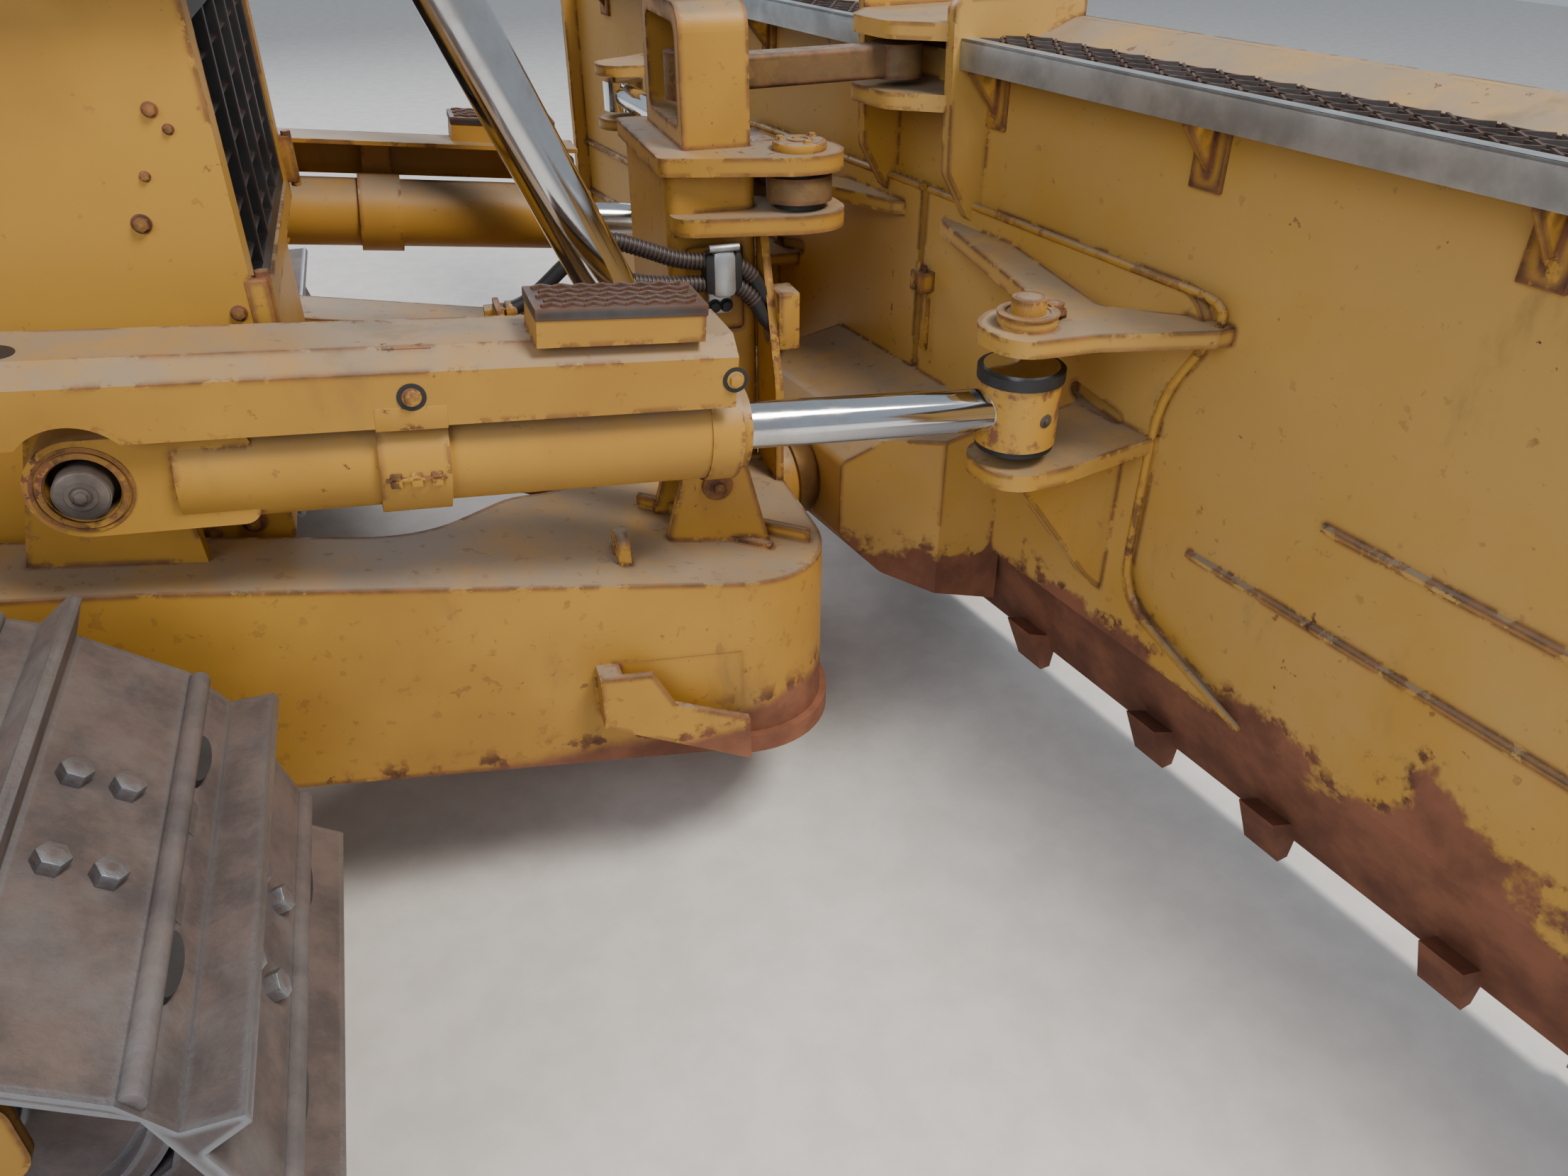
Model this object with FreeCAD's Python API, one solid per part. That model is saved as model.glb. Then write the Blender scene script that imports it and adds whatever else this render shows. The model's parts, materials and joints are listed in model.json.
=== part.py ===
import FreeCAD, Part
import math
import os

from FreeCAD import Vector

# Crawler bulldozer with a power-angle-tilt blade.
# Working frame: X forward from the sprocket axis, Y left of the tractor's centre plane,
# Z up from the ground. Millimetres and degrees.

# Clearances
SEAT_GAP = 0.3          # between pieces that rest against each other
PIN_PLAY = 0.08         # radial, pins in their bores
BEARING_SWING = 8.0     # round a pin whose ball lets the cylinder swing

# Running gear
TRACK_GAUGE = 2034.0
SHOE_WIDTH = 610.0
SHOE_COUNT = 40
SPROCKET_TEETH = 23
SPROCKET_Z = 482.0
IDLER_X = 2850.0
IDLER_PITCH_RADIUS = 308.0
REAR_ROLLER_X = 470.0
LINK_HALF_HEIGHT = 48.0
SHOE_PLATE = 14.0
GROUSER_HEIGHT = 50.0
LINK_INNER = 38.0
LINK_OUTER = 88.0
ROLLER_RADIUS = 100.0
ROLLER_COUNT = 7
CARRIER_XS = (900.0, 1950.0)
CARRIER_RADIUS = 75.0
BEAM_HALF = 126.0
BEAM_TOP = 560.0
GUARD_PLATE = 16.0

# Main frame
HULL_HALF = 430.0
HULL_TOP = 930.0
HULL_BOTTOM = 380.0
HULL_FRONT = 3255.0
HULL_REAR = -420.0
DRAWBAR_PIN = 26.0

# Nose, grille and hood
NOSE_FRONT = 3280.0
NOSE_REAR = 2900.0
NOSE_HALF = 458.0
SHOULDER_Z = 1400.0
NOSE_TOP_HALF = 352.0
NOSE_TOP = 1930.0
NOSE_LEAN = 23.8
GRILLE_RECESS = 70.0
GRILLE_BARS = 5
LOUVRE_PITCH = 62.0
HOOD_REAR = 1760.0
HOOD_HALF = 372.0
ENGINE_REAR = 1900.0
ENGINE_FRONT = 2780.0
ENGINE_HALF = 260.0
ENGINE_TOP = 1630.0

# Cab
CAB_REAR = 430.0
CAB_FRONT = 1740.0
CAB_HALF = 700.0
CAB_FLOOR = 1150.0
CAB_SILL = 1480.0
CAB_TOP = 2980.0
CAB_WALL = 60.0
ROOF_THICK = 150.0
DOOR_REAR = 640.0
DOOR_FRONT = 1440.0
DOOR_GAP = 6.0
HINGE_ZS = (1450.0, 2680.0)
HINGE_OUT = 14.0
HINGE_RADIUS = 12.0
HINGE_HALF = 45.0
GLASS = 6.0
ROOF_REAR_EAVE = 90.0
ROOF_FRONT_EAVE = 40.0
ROOF_SIDE_EAVE = 60.0
LAMP_INSET = 90.0
LAMP_HALF = 85.0
LAMP_DEPTH = 70.0
LAMP_HEIGHT = 56.0
SEAT_BACK_X = 660.0
SEAT_FRONT = 1220.0
SEAT_HALF = 240.0
SEAT_FOOT = 180.0
CUSHION_THICK = 120.0
SEAT_HEIGHT = 900.0
PEDESTAL_HALF = 150.0
CONSOLE_DEPTH = 220.0
CONSOLE_HEIGHT = 430.0
CONSOLE_HALF = 420.0

# Fenders, tank, exhaust, rails and the shafts of the track frames
FENDER_Z = 1030.0
FENDER_THICK = 60.0
FENDER_REAR = -330.0
FENDER_FRONT = 2150.0
WEB_REAR = 200.0
WEB_FRONT = 1880.0
CHEST_REAR = -260.0
CHEST_FRONT = 560.0
CHEST_HEIGHT = 370.0
TANK_REAR = -640.0
TANK_HEIGHT = 760.0
TANK_SLOPE = 220.0
STACK_X = 2350.0
STACK_Y = 150.0
STACK_RADIUS = 58.0
STACK_BORE = 50.0
STACK_HEIGHT = 640.0
STACK_BELL = 95.0
STACK_BELL_HEIGHT = 60.0
RAIL_REAR = 1560.0
RAIL_FRONT = 1980.0
RAIL_TOP = 1900.0
RAIL_RADIUS = 16.0
RAIL_BEND = 90.0
SHAFT_X = 760.0
SHAFT_Z = 500.0
SHAFT_RADIUS = 78.0
SHAFT_COLLAR = 86.0
BAR_REAR = 1480.0
BAR_FRONT = 1640.0
BAR_HALF = 60.0

# Push frame
FRAME_PIVOT_X = 1900.0
FRAME_PIVOT_Z = 690.0
FRAME_PIN_RADIUS = 55.0
ARM_OUTER = 620.0
ARM_INNER = 470.0
ARM_KNEE_X = 3100.0
ARM_KNEE_Z = 712.0
ARM_FALL = 10.0         # degrees, top of the arms ahead of the knee
BEAM_FRONT = 4045.0
BEAM_DEPTH = 355.0
BEAM_CORNER = 190.0
WEAR_LENGTH = 185.0
WEAR_HEIGHT = 34.0
WEAR_PROUD = 12.0
TOWER_DEPTH = 150.0
TOWER_FRONT = BEAM_FRONT - 15.0
TOWER_REAR = TOWER_FRONT - TOWER_DEPTH
TOWER_HALF = 165.0
TOWER_TOP = 1090.0
TOWER_PLATE = 28.0
TOWER_SLANT = 100.0
PORTAL_DEPTH = 112.0
PORTAL_FRONT = TOWER_FRONT
PORTAL_REAR = PORTAL_FRONT - PORTAL_DEPTH
PORTAL_HALF = 130.0
PORTAL_NOTCH = 70.0
POCKET_LENGTH = 225.0
POCKET_LIP = 34.0
POCKET_PROUD = 40.0
GUSSET = 14.0
PANEL_BORDER = 26.0
PANEL_SINK = 6.0
PORTAL_WALL = 28.0
PORTAL_TOP = 1300.0

# Blade joint and blade
BLADE_ANGLE = 10.7
BALL_X = BEAM_FRONT + 65.0
BALL_Z = 420.0
BALL_RADIUS = 92.0
LINER_THICK = 8.0
NECK_RADIUS = 50.0
BLADE_HALF = 1950.0
BLADE_TOP = 1250.0
BLADE_BOTTOM = 92.0
BACK_X = 350.0
BACK_LOW = 306.0
CROWN_X = 546.0
EDGE_X = 452.0
EDGE_THICK = 25.0
EDGE_BOTTOM = 44.0
END_BIT_LENGTH = 443.0
END_BIT_START = BLADE_HALF - END_BIT_LENGTH
STEP_REAR = 276.0
STEP_INNER = 150.0
STEP_OUTER = BLADE_HALF - 250.0
STEP_TOP = 1230.0
STEP_DROP = 38.0
BEAD = 9.0
TOOTH_YS = tuple(BLADE_HALF - inset for inset in (1572.0, 1220.0, 950.0, 610.0, 260.0))
TOOTH_FOOT = 50.0
RIB_HALF = 150.0
RIB_PLATE = 22.0

# Cylinders
ANGLE_HEAD_X = 3077.0
ANGLE_HEAD_Y = 612.0
ANGLE_HEAD_Z = 886.0
ANGLE_LUG_OUT = 74.0
ANGLE_TUBE = 68.0
ANGLE_GLAND = 800.0
ANGLE_ROD = 33.0
ANGLE_CHEEK_HALF = 54.0
ANGLE_EYE_XB = 96.0
ANGLE_EYE_YB = 602.5
ANGLE_EYE_Z = 780.0
ANGLE_EYE_RADIUS = 62.0
ANGLE_EYE_HALF = 50.0
ANGLE_EYE_ROOM = 30.0
ANGLE_SEAL = 20.0
ANGLE_PIN = 30.0
ANGLE_BEARING = 46.0
LIFT_Y = 430.0
LIFT_EYE_X = BEAM_FRONT - 181.0
LIFT_EYE_Z = 676.0
LIFT_EYE_RADIUS = 50.0
LIFT_EYE_HALF = 34.0
LIFT_TOP_X = 3415.0
LIFT_TOP_Z = 1700.0
LIFT_TUBE = 58.0
LIFT_ROD = 40.0
LIFT_GLAND = 125.0
LIFT_TAIL = 960.0
LIFT_PIN = 32.0
TILT_BASE_X = TOWER_FRONT + 70.0
TILT_BASE_Y = -172.0
TILT_BASE_Z = 1031.0
TILT_EYE_XB = 146.0
TILT_EYE_YB = 1060.0
TILT_EYE_Z = 975.0
TILT_TUBE = 52.0
TILT_ROD = 30.0
TILT_GLAND = 720.0
TILT_PIN = 14.0
TILT_FORK_HALF = 31.0
TILT_BEARING = 36.0
KING_X = PORTAL_REAR + PORTAL_DEPTH / 2
KING_RADIUS = 30.0
LINK_Z = 1182.0
LINK_TIP_HALF = 28.0
LINK_LUG_GAP = 42.0
LINK_PIN_XB = 250.0

TRACK_HALF = TRACK_GAUGE / 2
PLATE_OFFSET = LINK_HALF_HEIGHT + SHOE_PLATE
TIP_OFFSET = PLATE_OFFSET + GROUSER_HEIGHT
IDLER_Z = IDLER_PITCH_RADIUS + TIP_OFFSET

AXES = {"x": Vector(1, 0, 0), "y": Vector(0, 1, 0), "z": Vector(0, 0, 1)}


def to_space(plane, a, b, height):
    """A point of a flat outline, set at a height along the plane's own axis."""
    if plane == "xy":
        return Vector(a, b, height)
    if plane == "xz":
        return Vector(a, height, b)
    return Vector(height, a, b)


def prism(plane, corners, low, high):
    """Extrude a closed outline of (a, b) or (a, b, corner radius) from low to high."""
    spots = [(c[0], c[1], c[2] if len(c) > 2 else 0.0) for c in corners]
    count = len(spots)
    legs = []
    for i, (a, b, radius) in enumerate(spots):
        before = spots[i - 1]
        after = spots[(i + 1) % count]
        if radius <= 0.0:
            legs.append(((a, b), None, (a, b)))
            continue
        u = unit(before[0] - a, before[1] - b)
        v = unit(after[0] - a, after[1] - b)
        half = 0.5 * math.acos(max(-1.0, min(1.0, u[0] * v[0] + u[1] * v[1])))
        run = radius / math.tan(half)
        middle = unit(u[0] + v[0], u[1] + v[1])
        reach = radius / math.sin(half) - radius
        legs.append((
            (a + u[0] * run, b + u[1] * run),
            (a + middle[0] * reach, b + middle[1] * reach),
            (a + v[0] * run, b + v[1] * run),
        ))
    edges = []
    for i, (start, middle, end) in enumerate(legs):
        if middle is not None:
            arc = Part.Arc(*[to_space(plane, *p, low) for p in (start, middle, end)])
            edges.append(arc.toShape())
        following = legs[(i + 1) % count][0]
        if math.hypot(following[0] - end[0], following[1] - end[1]) > 0.01:
            edges.append(Part.LineSegment(
                to_space(plane, *end, low), to_space(plane, *following, low)).toShape())
    face = Part.Face(Part.Wire(edges))
    normal = {"xy": "z", "xz": "y", "yz": "x"}[plane]
    return face.extrude(AXES[normal] * (high - low))


def unit(a, b):
    size = math.hypot(a, b)
    return a / size, b / size


def box(x0, x1, y0, y1, z0, z1):
    return Part.makeBox(x1 - x0, y1 - y0, z1 - z0, Vector(x0, y0, z0))


def rod(start, end, radius):
    """Round bar from one point to another."""
    a, b = Vector(*start), Vector(*end)
    return Part.makeCylinder(radius, (b - a).Length, a, b - a)


def across(axis, centre, radius, half):
    """Round bar centred on a point, along a named axis."""
    along = AXES[axis]
    return Part.makeCylinder(radius, 2 * half, Vector(*centre) - along * half, along)


def ring(axis, centre, outer, inner, half):
    return across(axis, centre, outer, half).cut(across(axis, centre, inner, half + 1))


def join(pieces):
    solid = pieces[0]
    if len(pieces) > 1:
        solid = pieces[0].fuse(pieces[1:])
    return solid.removeSplitter()


def mirrored(shape):
    return shape.mirror(Vector(0, 0, 0), Vector(0, 1, 0))


def both_sides(shape):
    return Part.makeCompound([shape, mirrored(shape)])


def softened(shape, radius, axis):
    """Round the straight edges that run along one axis."""
    along = AXES[axis]
    picked = []
    for edge in shape.Edges:
        if len(edge.Vertexes) == 2 and edge.Curve.TypeId == "Part::GeomLine":
            way = edge.Vertexes[1].Point - edge.Vertexes[0].Point
            if abs(way.normalize().dot(along)) > 0.999:
                picked.append(edge)
    return shape.makeFillet(radius, picked)


def aimed(shape, origin, target, up=(0, 0, 1)):
    """Move a shape drawn along +X at the origin so that it lies from origin to target."""
    start = Vector(*origin)
    ahead = (Vector(*target) - start).normalize()
    side = Vector(*up).cross(ahead).normalize()
    top = ahead.cross(side)
    matrix = FreeCAD.Matrix(
        ahead.x, side.x, top.x, start.x,
        ahead.y, side.y, top.y, start.y,
        ahead.z, side.z, top.z, start.z,
        0, 0, 0, 1)
    placed = shape.copy()
    placed.Placement = FreeCAD.Placement(matrix)
    return placed


def on_blade(shape):
    """Swing a shape drawn in the blade's own frame to where the blade stands."""
    placed = shape.copy()
    placed.Placement = FreeCAD.Placement(
        Vector(BALL_X, 0, 0), FreeCAD.Rotation(Vector(0, 0, 1), BLADE_ANGLE))
    return placed


def blade_point(xb, yb, z):
    turn = math.radians(BLADE_ANGLE)
    x = xb * math.cos(turn) - yb * math.sin(turn)
    y = xb * math.sin(turn) + yb * math.cos(turn)
    return BALL_X + x, y, z


# Track loop

def belt(circles):
    """Corners of the taut loop round circles (x, z, radius), run the same way round."""
    runs = []
    for i, (x0, z0, r0) in enumerate(circles):
        x1, z1, r1 = circles[(i + 1) % len(circles)]
        gap = math.hypot(x1 - x0, z1 - z0)
        way = math.atan2(z1 - z0, x1 - x0)
        normal = way - math.pi / 2 + math.asin((r1 - r0) / gap) * -1.0
        n = (math.cos(normal), math.sin(normal))
        runs.append(((x0 + r0 * n[0], z0 + r0 * n[1]), (x1 + r1 * n[0], z1 + r1 * n[1]), normal))
    return runs


def track_circles(sprocket_radius):
    """Pitch circles in turn: sprocket, last roller contact, idler. The ground run comes first."""
    return [
        (0.0, SPROCKET_Z, sprocket_radius),
        (REAR_ROLLER_X, TIP_OFFSET, 0.0),
        (IDLER_X, IDLER_Z, IDLER_PITCH_RADIUS),
    ]


def loop_pieces(circles):
    """The loop as straight runs and arcs, each with its length."""
    runs = belt(circles)
    pieces = []
    for i, (start, end, normal) in enumerate(runs):
        pieces.append(("run", start, end, math.hypot(end[0] - start[0], end[1] - start[1])))
        x, z, radius = circles[(i + 1) % len(circles)]
        turn = (runs[(i + 1) % len(runs)][2] - normal) % (2 * math.pi)
        pieces.append(("arc", (x, z, radius, normal), turn, radius * turn))
    return pieces


def loop_point(pieces, distance):
    for kind, first, second, length in pieces:
        if distance <= length:
            if kind == "run":
                share = distance / length
                return (first[0] + (second[0] - first[0]) * share,
                        first[1] + (second[1] - first[1]) * share)
            x, z, radius, normal = first
            angle = normal + second * distance / length
            return x + radius * math.cos(angle), z + radius * math.sin(angle)
        distance -= length
    return loop_point(pieces, distance)


def track_geometry():
    """Sprocket radius that meshes with the pitch, the pitch, and the joints of the links."""
    radius = 350.0
    for _ in range(8):
        pieces = loop_pieces(track_circles(radius))
        pitch = sum(piece[3] for piece in pieces) / SHOE_COUNT
        radius = pitch / (2 * math.sin(2 * math.pi / SPROCKET_TEETH))
    pieces = loop_pieces(track_circles(radius))
    total = sum(piece[3] for piece in pieces)
    rearmost = total - pieces[-1][3] * 0.5
    joints = [loop_point(pieces, (rearmost + total * i / SHOE_COUNT) % total)
              for i in range(SHOE_COUNT)]
    return radius, total / SHOE_COUNT, joints


SPROCKET_RADIUS, TRACK_PITCH, TRACK_JOINTS = track_geometry()


def offset_joints(joints, distance):
    """The polygon of the joints, moved outwards by a distance."""
    moved = []
    for i, (x, z) in enumerate(joints):
        before, after = joints[i - 1], joints[(i + 1) % len(joints)]
        u = unit(x - before[0], z - before[1])
        v = unit(after[0] - x, after[1] - z)
        n = unit(u[1] + v[1], -u[0] - v[0])
        grow = distance / (n[0] * u[1] - n[1] * u[0])
        moved.append((x + n[0] * grow, z + n[1] * grow))
    return moved


# Outer outline of one shoe: share of the pitch, height over the pitch line
SHOE_OUTLINE = [
    (0.05, PLATE_OFFSET),
    (0.70, PLATE_OFFSET),
    (0.77, TIP_OFFSET),
    (0.83, TIP_OFFSET),
    (0.90, PLATE_OFFSET),
]


def track(side):
    """One closed loop: the shoes with their bars, fused to the two rails of links."""
    shoes = []
    for i, start in enumerate(TRACK_JOINTS):
        end = TRACK_JOINTS[(i + 1) % SHOE_COUNT]
        u = unit(end[0] - start[0], end[1] - start[1])
        n = (u[1], -u[0])
        for share, height in SHOE_OUTLINE:
            run = share * TRACK_PITCH
            shoes.append((start[0] + u[0] * run + n[0] * height,
                          start[1] + u[1] * run + n[1] * height))
    inner = offset_joints(TRACK_JOINTS, LINK_HALF_HEIGHT)
    half = SHOE_WIDTH / 2
    loop = prism("xz", shoes, -half, half).cut(prism("xz", inner, -half - 1, half + 1))
    rail_top = offset_joints(TRACK_JOINTS, LINK_HALF_HEIGHT + SHOE_PLATE / 2)
    rail_foot = offset_joints(TRACK_JOINTS, -LINK_HALF_HEIGHT)
    rails = []
    for low, high in ((LINK_INNER, LINK_OUTER), (-LINK_OUTER, -LINK_INNER)):
        rails.append(prism("xz", rail_top, low, high).cut(
            prism("xz", rail_foot, low - 1, high + 1)))
    solid = join([loop] + rails)
    solid.translate(Vector(0, side * TRACK_HALF, 0))
    return solid


def link_foot(radius):
    """Least distance from a wheel's axis to the inner side of the rails round it."""
    return math.sqrt(radius ** 2 - (TRACK_PITCH / 2) ** 2) - LINK_HALF_HEIGHT


def sprocket(side):
    """Toothed wheel, its hub and the final drive case that carries it."""
    tip = SPROCKET_RADIUS + 12
    wheel = across("y", (0, 0, 0), tip, 28)
    seat = 34.0
    for i in range(SPROCKET_TEETH):
        angle = math.pi + 2 * math.pi * i / SPROCKET_TEETH
        centre = (SPROCKET_RADIUS * math.cos(angle), 0, SPROCKET_RADIUS * math.sin(angle))
        wheel = wheel.cut(across("y", centre, seat, 30))
    outer = side * (LINK_OUTER + 45)
    inner = HULL_HALF + SEAT_GAP - TRACK_HALF
    hub = rod((0, outer, 0), (0, side * inner, 0), 150)
    dome = rod((0, side * (LINK_OUTER + 75), 0), (0, outer, 0), 105)
    case = rod((0, side * -(SHOE_WIDTH / 2 + 20), 0), (0, side * inner, 0), 235)
    flange = rod((0, side * -70, 0), (0, side * 60, 0), link_foot(SPROCKET_RADIUS) - 22)
    solid = join([wheel, hub, dome, case, flange])
    solid.translate(Vector(0, side * TRACK_HALF, SPROCKET_Z))
    return solid


def idler(side):
    tread = link_foot(IDLER_PITCH_RADIUS) - SEAT_GAP
    rim = across("y", (0, 0, 0), tread, LINK_OUTER - 4)
    guide = across("y", (0, 0, 0), tread + 34, LINK_INNER - 6)
    hollow = ring("y", (0, 0, 0), tread - 28, 95, 30)
    dish = [hollow.copy() for _ in range(2)]
    dish[0].translate(Vector(0, LINK_OUTER + 6, 0))
    dish[1].translate(Vector(0, -LINK_OUTER - 6, 0))
    axle = across("y", (0, 0, 0), 52, BEAM_HALF - GUARD_PLATE - SEAT_GAP)
    solid = rim.fuse([guide, axle]).cut(dish)
    solid.translate(Vector(IDLER_X, side * TRACK_HALF, IDLER_Z))
    return solid


def rollers(side):
    """Bottom rollers on the ground run and carrier rollers under the top run."""
    solids = []
    first, last = REAR_ROLLER_X + 80, IDLER_X - 490
    step = (last - first) / (ROLLER_COUNT - 1)
    axle_z = TIP_OFFSET + LINK_HALF_HEIGHT + ROLLER_RADIUS + SEAT_GAP
    for i in range(ROLLER_COUNT):
        x = first + step * i
        body = across("y", (x, 0, axle_z), ROLLER_RADIUS, LINK_OUTER + 6)
        waist = ring("y", (x, 0, axle_z), ROLLER_RADIUS + 1, 72, LINK_INNER - 4)
        axle = across("y", (x, 0, axle_z), 40, BEAM_HALF - GUARD_PLATE - SEAT_GAP)
        solids.append(body.cut(waist).fuse(axle))
    for x in CARRIER_XS:
        z = top_run_z(x) - LINK_HALF_HEIGHT - CARRIER_RADIUS - 2 * SEAT_GAP
        wheel = across("y", (x, 0, z), CARRIER_RADIUS, LINK_OUTER + 4)
        axle = across("y", (x, 0, z), 30, LINK_OUTER + 24)
        solids.append(wheel.fuse(axle))
    for solid in solids:
        solid.translate(Vector(0, side * TRACK_HALF, 0))
    return solids


def top_run_z(x):
    """Height of the pitch line on the top run."""
    start, end, _ = belt(track_circles(SPROCKET_RADIUS))[2]
    return start[1] + (end[1] - start[1]) * (x - start[0]) / (end[0] - start[0])


def track_frame(side):
    """Box beam between sprocket and idler, with roller guards, yoke and carrier brackets."""
    rear, front = SPROCKET_RADIUS + 70, IDLER_X - 330
    beam = prism("xz", [(rear, 400, 30), (front, 400, 20), (front, BEAM_TOP, 50),
                        (rear + 60, BEAM_TOP, 80)], -BEAM_HALF, BEAM_HALF)
    beam = softened(beam, 24, "x")
    parts = [beam]
    for face in (-1, 1):
        low, high = sorted((face * BEAM_HALF, face * (BEAM_HALF - GUARD_PLATE)))
        guard = prism("xz", [(rear + 20, 235, 40), (front - 60, 235, 40),
                             (front - 20, 410), (rear, 410)], low, high)
        yoke = prism("xz", [(front - 40, 430), (IDLER_X - 60, 355, 30), (IDLER_X + 110, 355, 40),
                            (IDLER_X + 110, 485, 40), (front - 40, 560)], low, high)
        parts += [guard, yoke]
    for x in CARRIER_XS:
        z = top_run_z(x) - LINK_HALF_HEIGHT - CARRIER_RADIUS - 2 * SEAT_GAP
        for face in (-1, 1):
            low, high = sorted((face * (LINK_OUTER + 10), face * (LINK_OUTER + 34)))
            post = prism("xz", [(x - 55, BEAM_TOP - 10), (x + 55, BEAM_TOP - 10), (x + 38, z + 20, 15),
                                (x - 38, z + 20, 15)], low, high)
            parts.append(post.cut(across("y", (x, 0, z), 30 + PIN_PLAY, BEAM_HALF)))
    solid = join(parts)
    solid.translate(Vector(0, side * TRACK_HALF, 0))
    return solid


def cross_members():
    """Pivot shaft and equaliser bar that tie the track frames to the main frame."""
    inner = HULL_HALF + SEAT_GAP
    outer = TRACK_HALF - BEAM_HALF - SEAT_GAP
    shaft = rod((SHAFT_X, inner, SHAFT_Z), (SHAFT_X, outer, SHAFT_Z), SHAFT_RADIUS)
    collar = rod((SHAFT_X, outer - 40, SHAFT_Z), (SHAFT_X, outer, SHAFT_Z), SHAFT_COLLAR)
    low, high = SHAFT_Z - BAR_HALF, SHAFT_Z + BAR_HALF
    bar = prism("xz", [(BAR_REAR, low, 20), (BAR_FRONT, low, 20),
                       (BAR_FRONT, high, 20), (BAR_REAR, high, 20)], inner, outer)
    return [shaft.fuse(collar), bar, mirrored(shaft.fuse(collar)), mirrored(bar)]


# Main frame, nose and hood

def main_frame():
    hull = prism("xz", [
        (HULL_REAR, 560, 40), (HULL_REAR, HULL_TOP, 20), (HULL_FRONT, HULL_TOP),
        (HULL_FRONT, 660, 20), (3060, 610, 60), (2700, HULL_BOTTOM, 80),
        (-160, HULL_BOTTOM, 80)], -HULL_HALF, HULL_HALF)
    parts = [hull]
    for side in (-1, 1):
        reach = side * (ARM_OUTER + 18)
        parts.append(rod((FRAME_PIVOT_X, 0, FRAME_PIVOT_Z), (FRAME_PIVOT_X, reach, FRAME_PIVOT_Z),
                         FRAME_PIN_RADIUS))
        parts.append(rod((FRAME_PIVOT_X, 0, FRAME_PIVOT_Z),
                         (FRAME_PIVOT_X, side * (ARM_INNER - 6), FRAME_PIVOT_Z), 105))
        head = rod((FRAME_PIVOT_X, side * (ARM_OUTER + 4), FRAME_PIVOT_Z),
                   (FRAME_PIVOT_X, reach, FRAME_PIVOT_Z), 84)
        parts.append(head)
    return join(parts)


def front_lean(z):
    """X of the nose's front face at a height: upright, then leaning back."""
    if z <= SHOULDER_Z + 50:
        return NOSE_FRONT
    return NOSE_FRONT - (z - SHOULDER_Z - 50) * math.tan(math.radians(NOSE_LEAN))


def nose():
    """Radiator housing: wide up to the shoulders, then narrow between the lift cylinders."""
    low = HULL_TOP + SEAT_GAP
    wide = prism("yz", [(-NOSE_HALF, low), (NOSE_HALF, low), (NOSE_HALF, SHOULDER_Z, 30),
                        (-NOSE_HALF, SHOULDER_Z, 30)], NOSE_REAR, NOSE_FRONT)
    tall = prism("xz", [(NOSE_REAR, low), (NOSE_FRONT, low), (NOSE_FRONT, SHOULDER_Z + 50),
                        (front_lean(NOSE_TOP), NOSE_TOP, 60), (NOSE_REAR, NOSE_TOP)],
                 -NOSE_TOP_HALF, NOSE_TOP_HALF)
    body = wide.fuse(tall)
    opening = box(NOSE_FRONT - GRILLE_RECESS, NOSE_FRONT + 1, -NOSE_HALF + 60, NOSE_HALF - 60,
                  low + 40, SHOULDER_Z - 40)
    body = body.cut(opening)
    parts = [body]
    for side in (-1, 1):
        parts.append(lift_yoke(side))
    return join(parts)


def lift_yoke(side):
    """Forked bracket on the nose that holds a lift cylinder's trunnions."""
    plates = []
    inner_low, inner_high = NOSE_TOP_HALF - 20, LIFT_Y - LIFT_TUBE - 6
    outer_low, outer_high = LIFT_Y + LIFT_TUBE + 6, LIFT_Y + LIFT_TUBE + 17
    outline = [(3120, 1392), (3320, 1392), (LIFT_TOP_X + 70, LIFT_TOP_Z - 60, 60),
               (LIFT_TOP_X + 70, LIFT_TOP_Z + 75, 65), (LIFT_TOP_X - 70, LIFT_TOP_Z + 75, 65),
               (3120, 1560)]
    back = [(3120, 1392), (3270, 1392), (3270, 1430), (3120, 1430)]
    for low, high in ((inner_low, inner_high), (outer_low, outer_high)):
        low, high = sorted((side * low, side * high))
        plate = prism("xz", outline, low, high)
        plates.append(plate)
    low, high = sorted((side * inner_low, side * outer_high))
    plates.append(prism("xz", back, low, high))
    bracket = plates[0].fuse(plates[1:])
    bore = across("y", (LIFT_TOP_X, side * LIFT_Y, LIFT_TOP_Z), LIFT_PIN + PIN_PLAY, 140)
    return bracket.cut(bore)


def grille():
    """Framed louvre panel set in the nose's recess."""
    low, high = HULL_TOP + 44, SHOULDER_Z - 44
    half = NOSE_HALF - 64
    rear, front = NOSE_FRONT - GRILLE_RECESS + SEAT_GAP, NOSE_FRONT - 4
    frame = box(rear, front, -half, half, low, high)
    bay = (2 * half - 40.0) / GRILLE_BARS
    louvres = []
    for i in range(GRILLE_BARS):
        y0 = -half + 28 + bay * i
        y1 = y0 + bay - 16
        frame = frame.cut(box(rear - 1, front + 1, y0, y1, low + 28, high - 28))
        z = low + 48
        while z < high - 52:
            louvres.append(prism("xz", [(rear + 6, z + 26), (rear + 12, z + 32),
                                        (front - 6, z + 6), (front - 12, z)], y0 - 2, y1 + 2))
            z += LOUVRE_PITCH
    return join([frame] + louvres)


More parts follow.
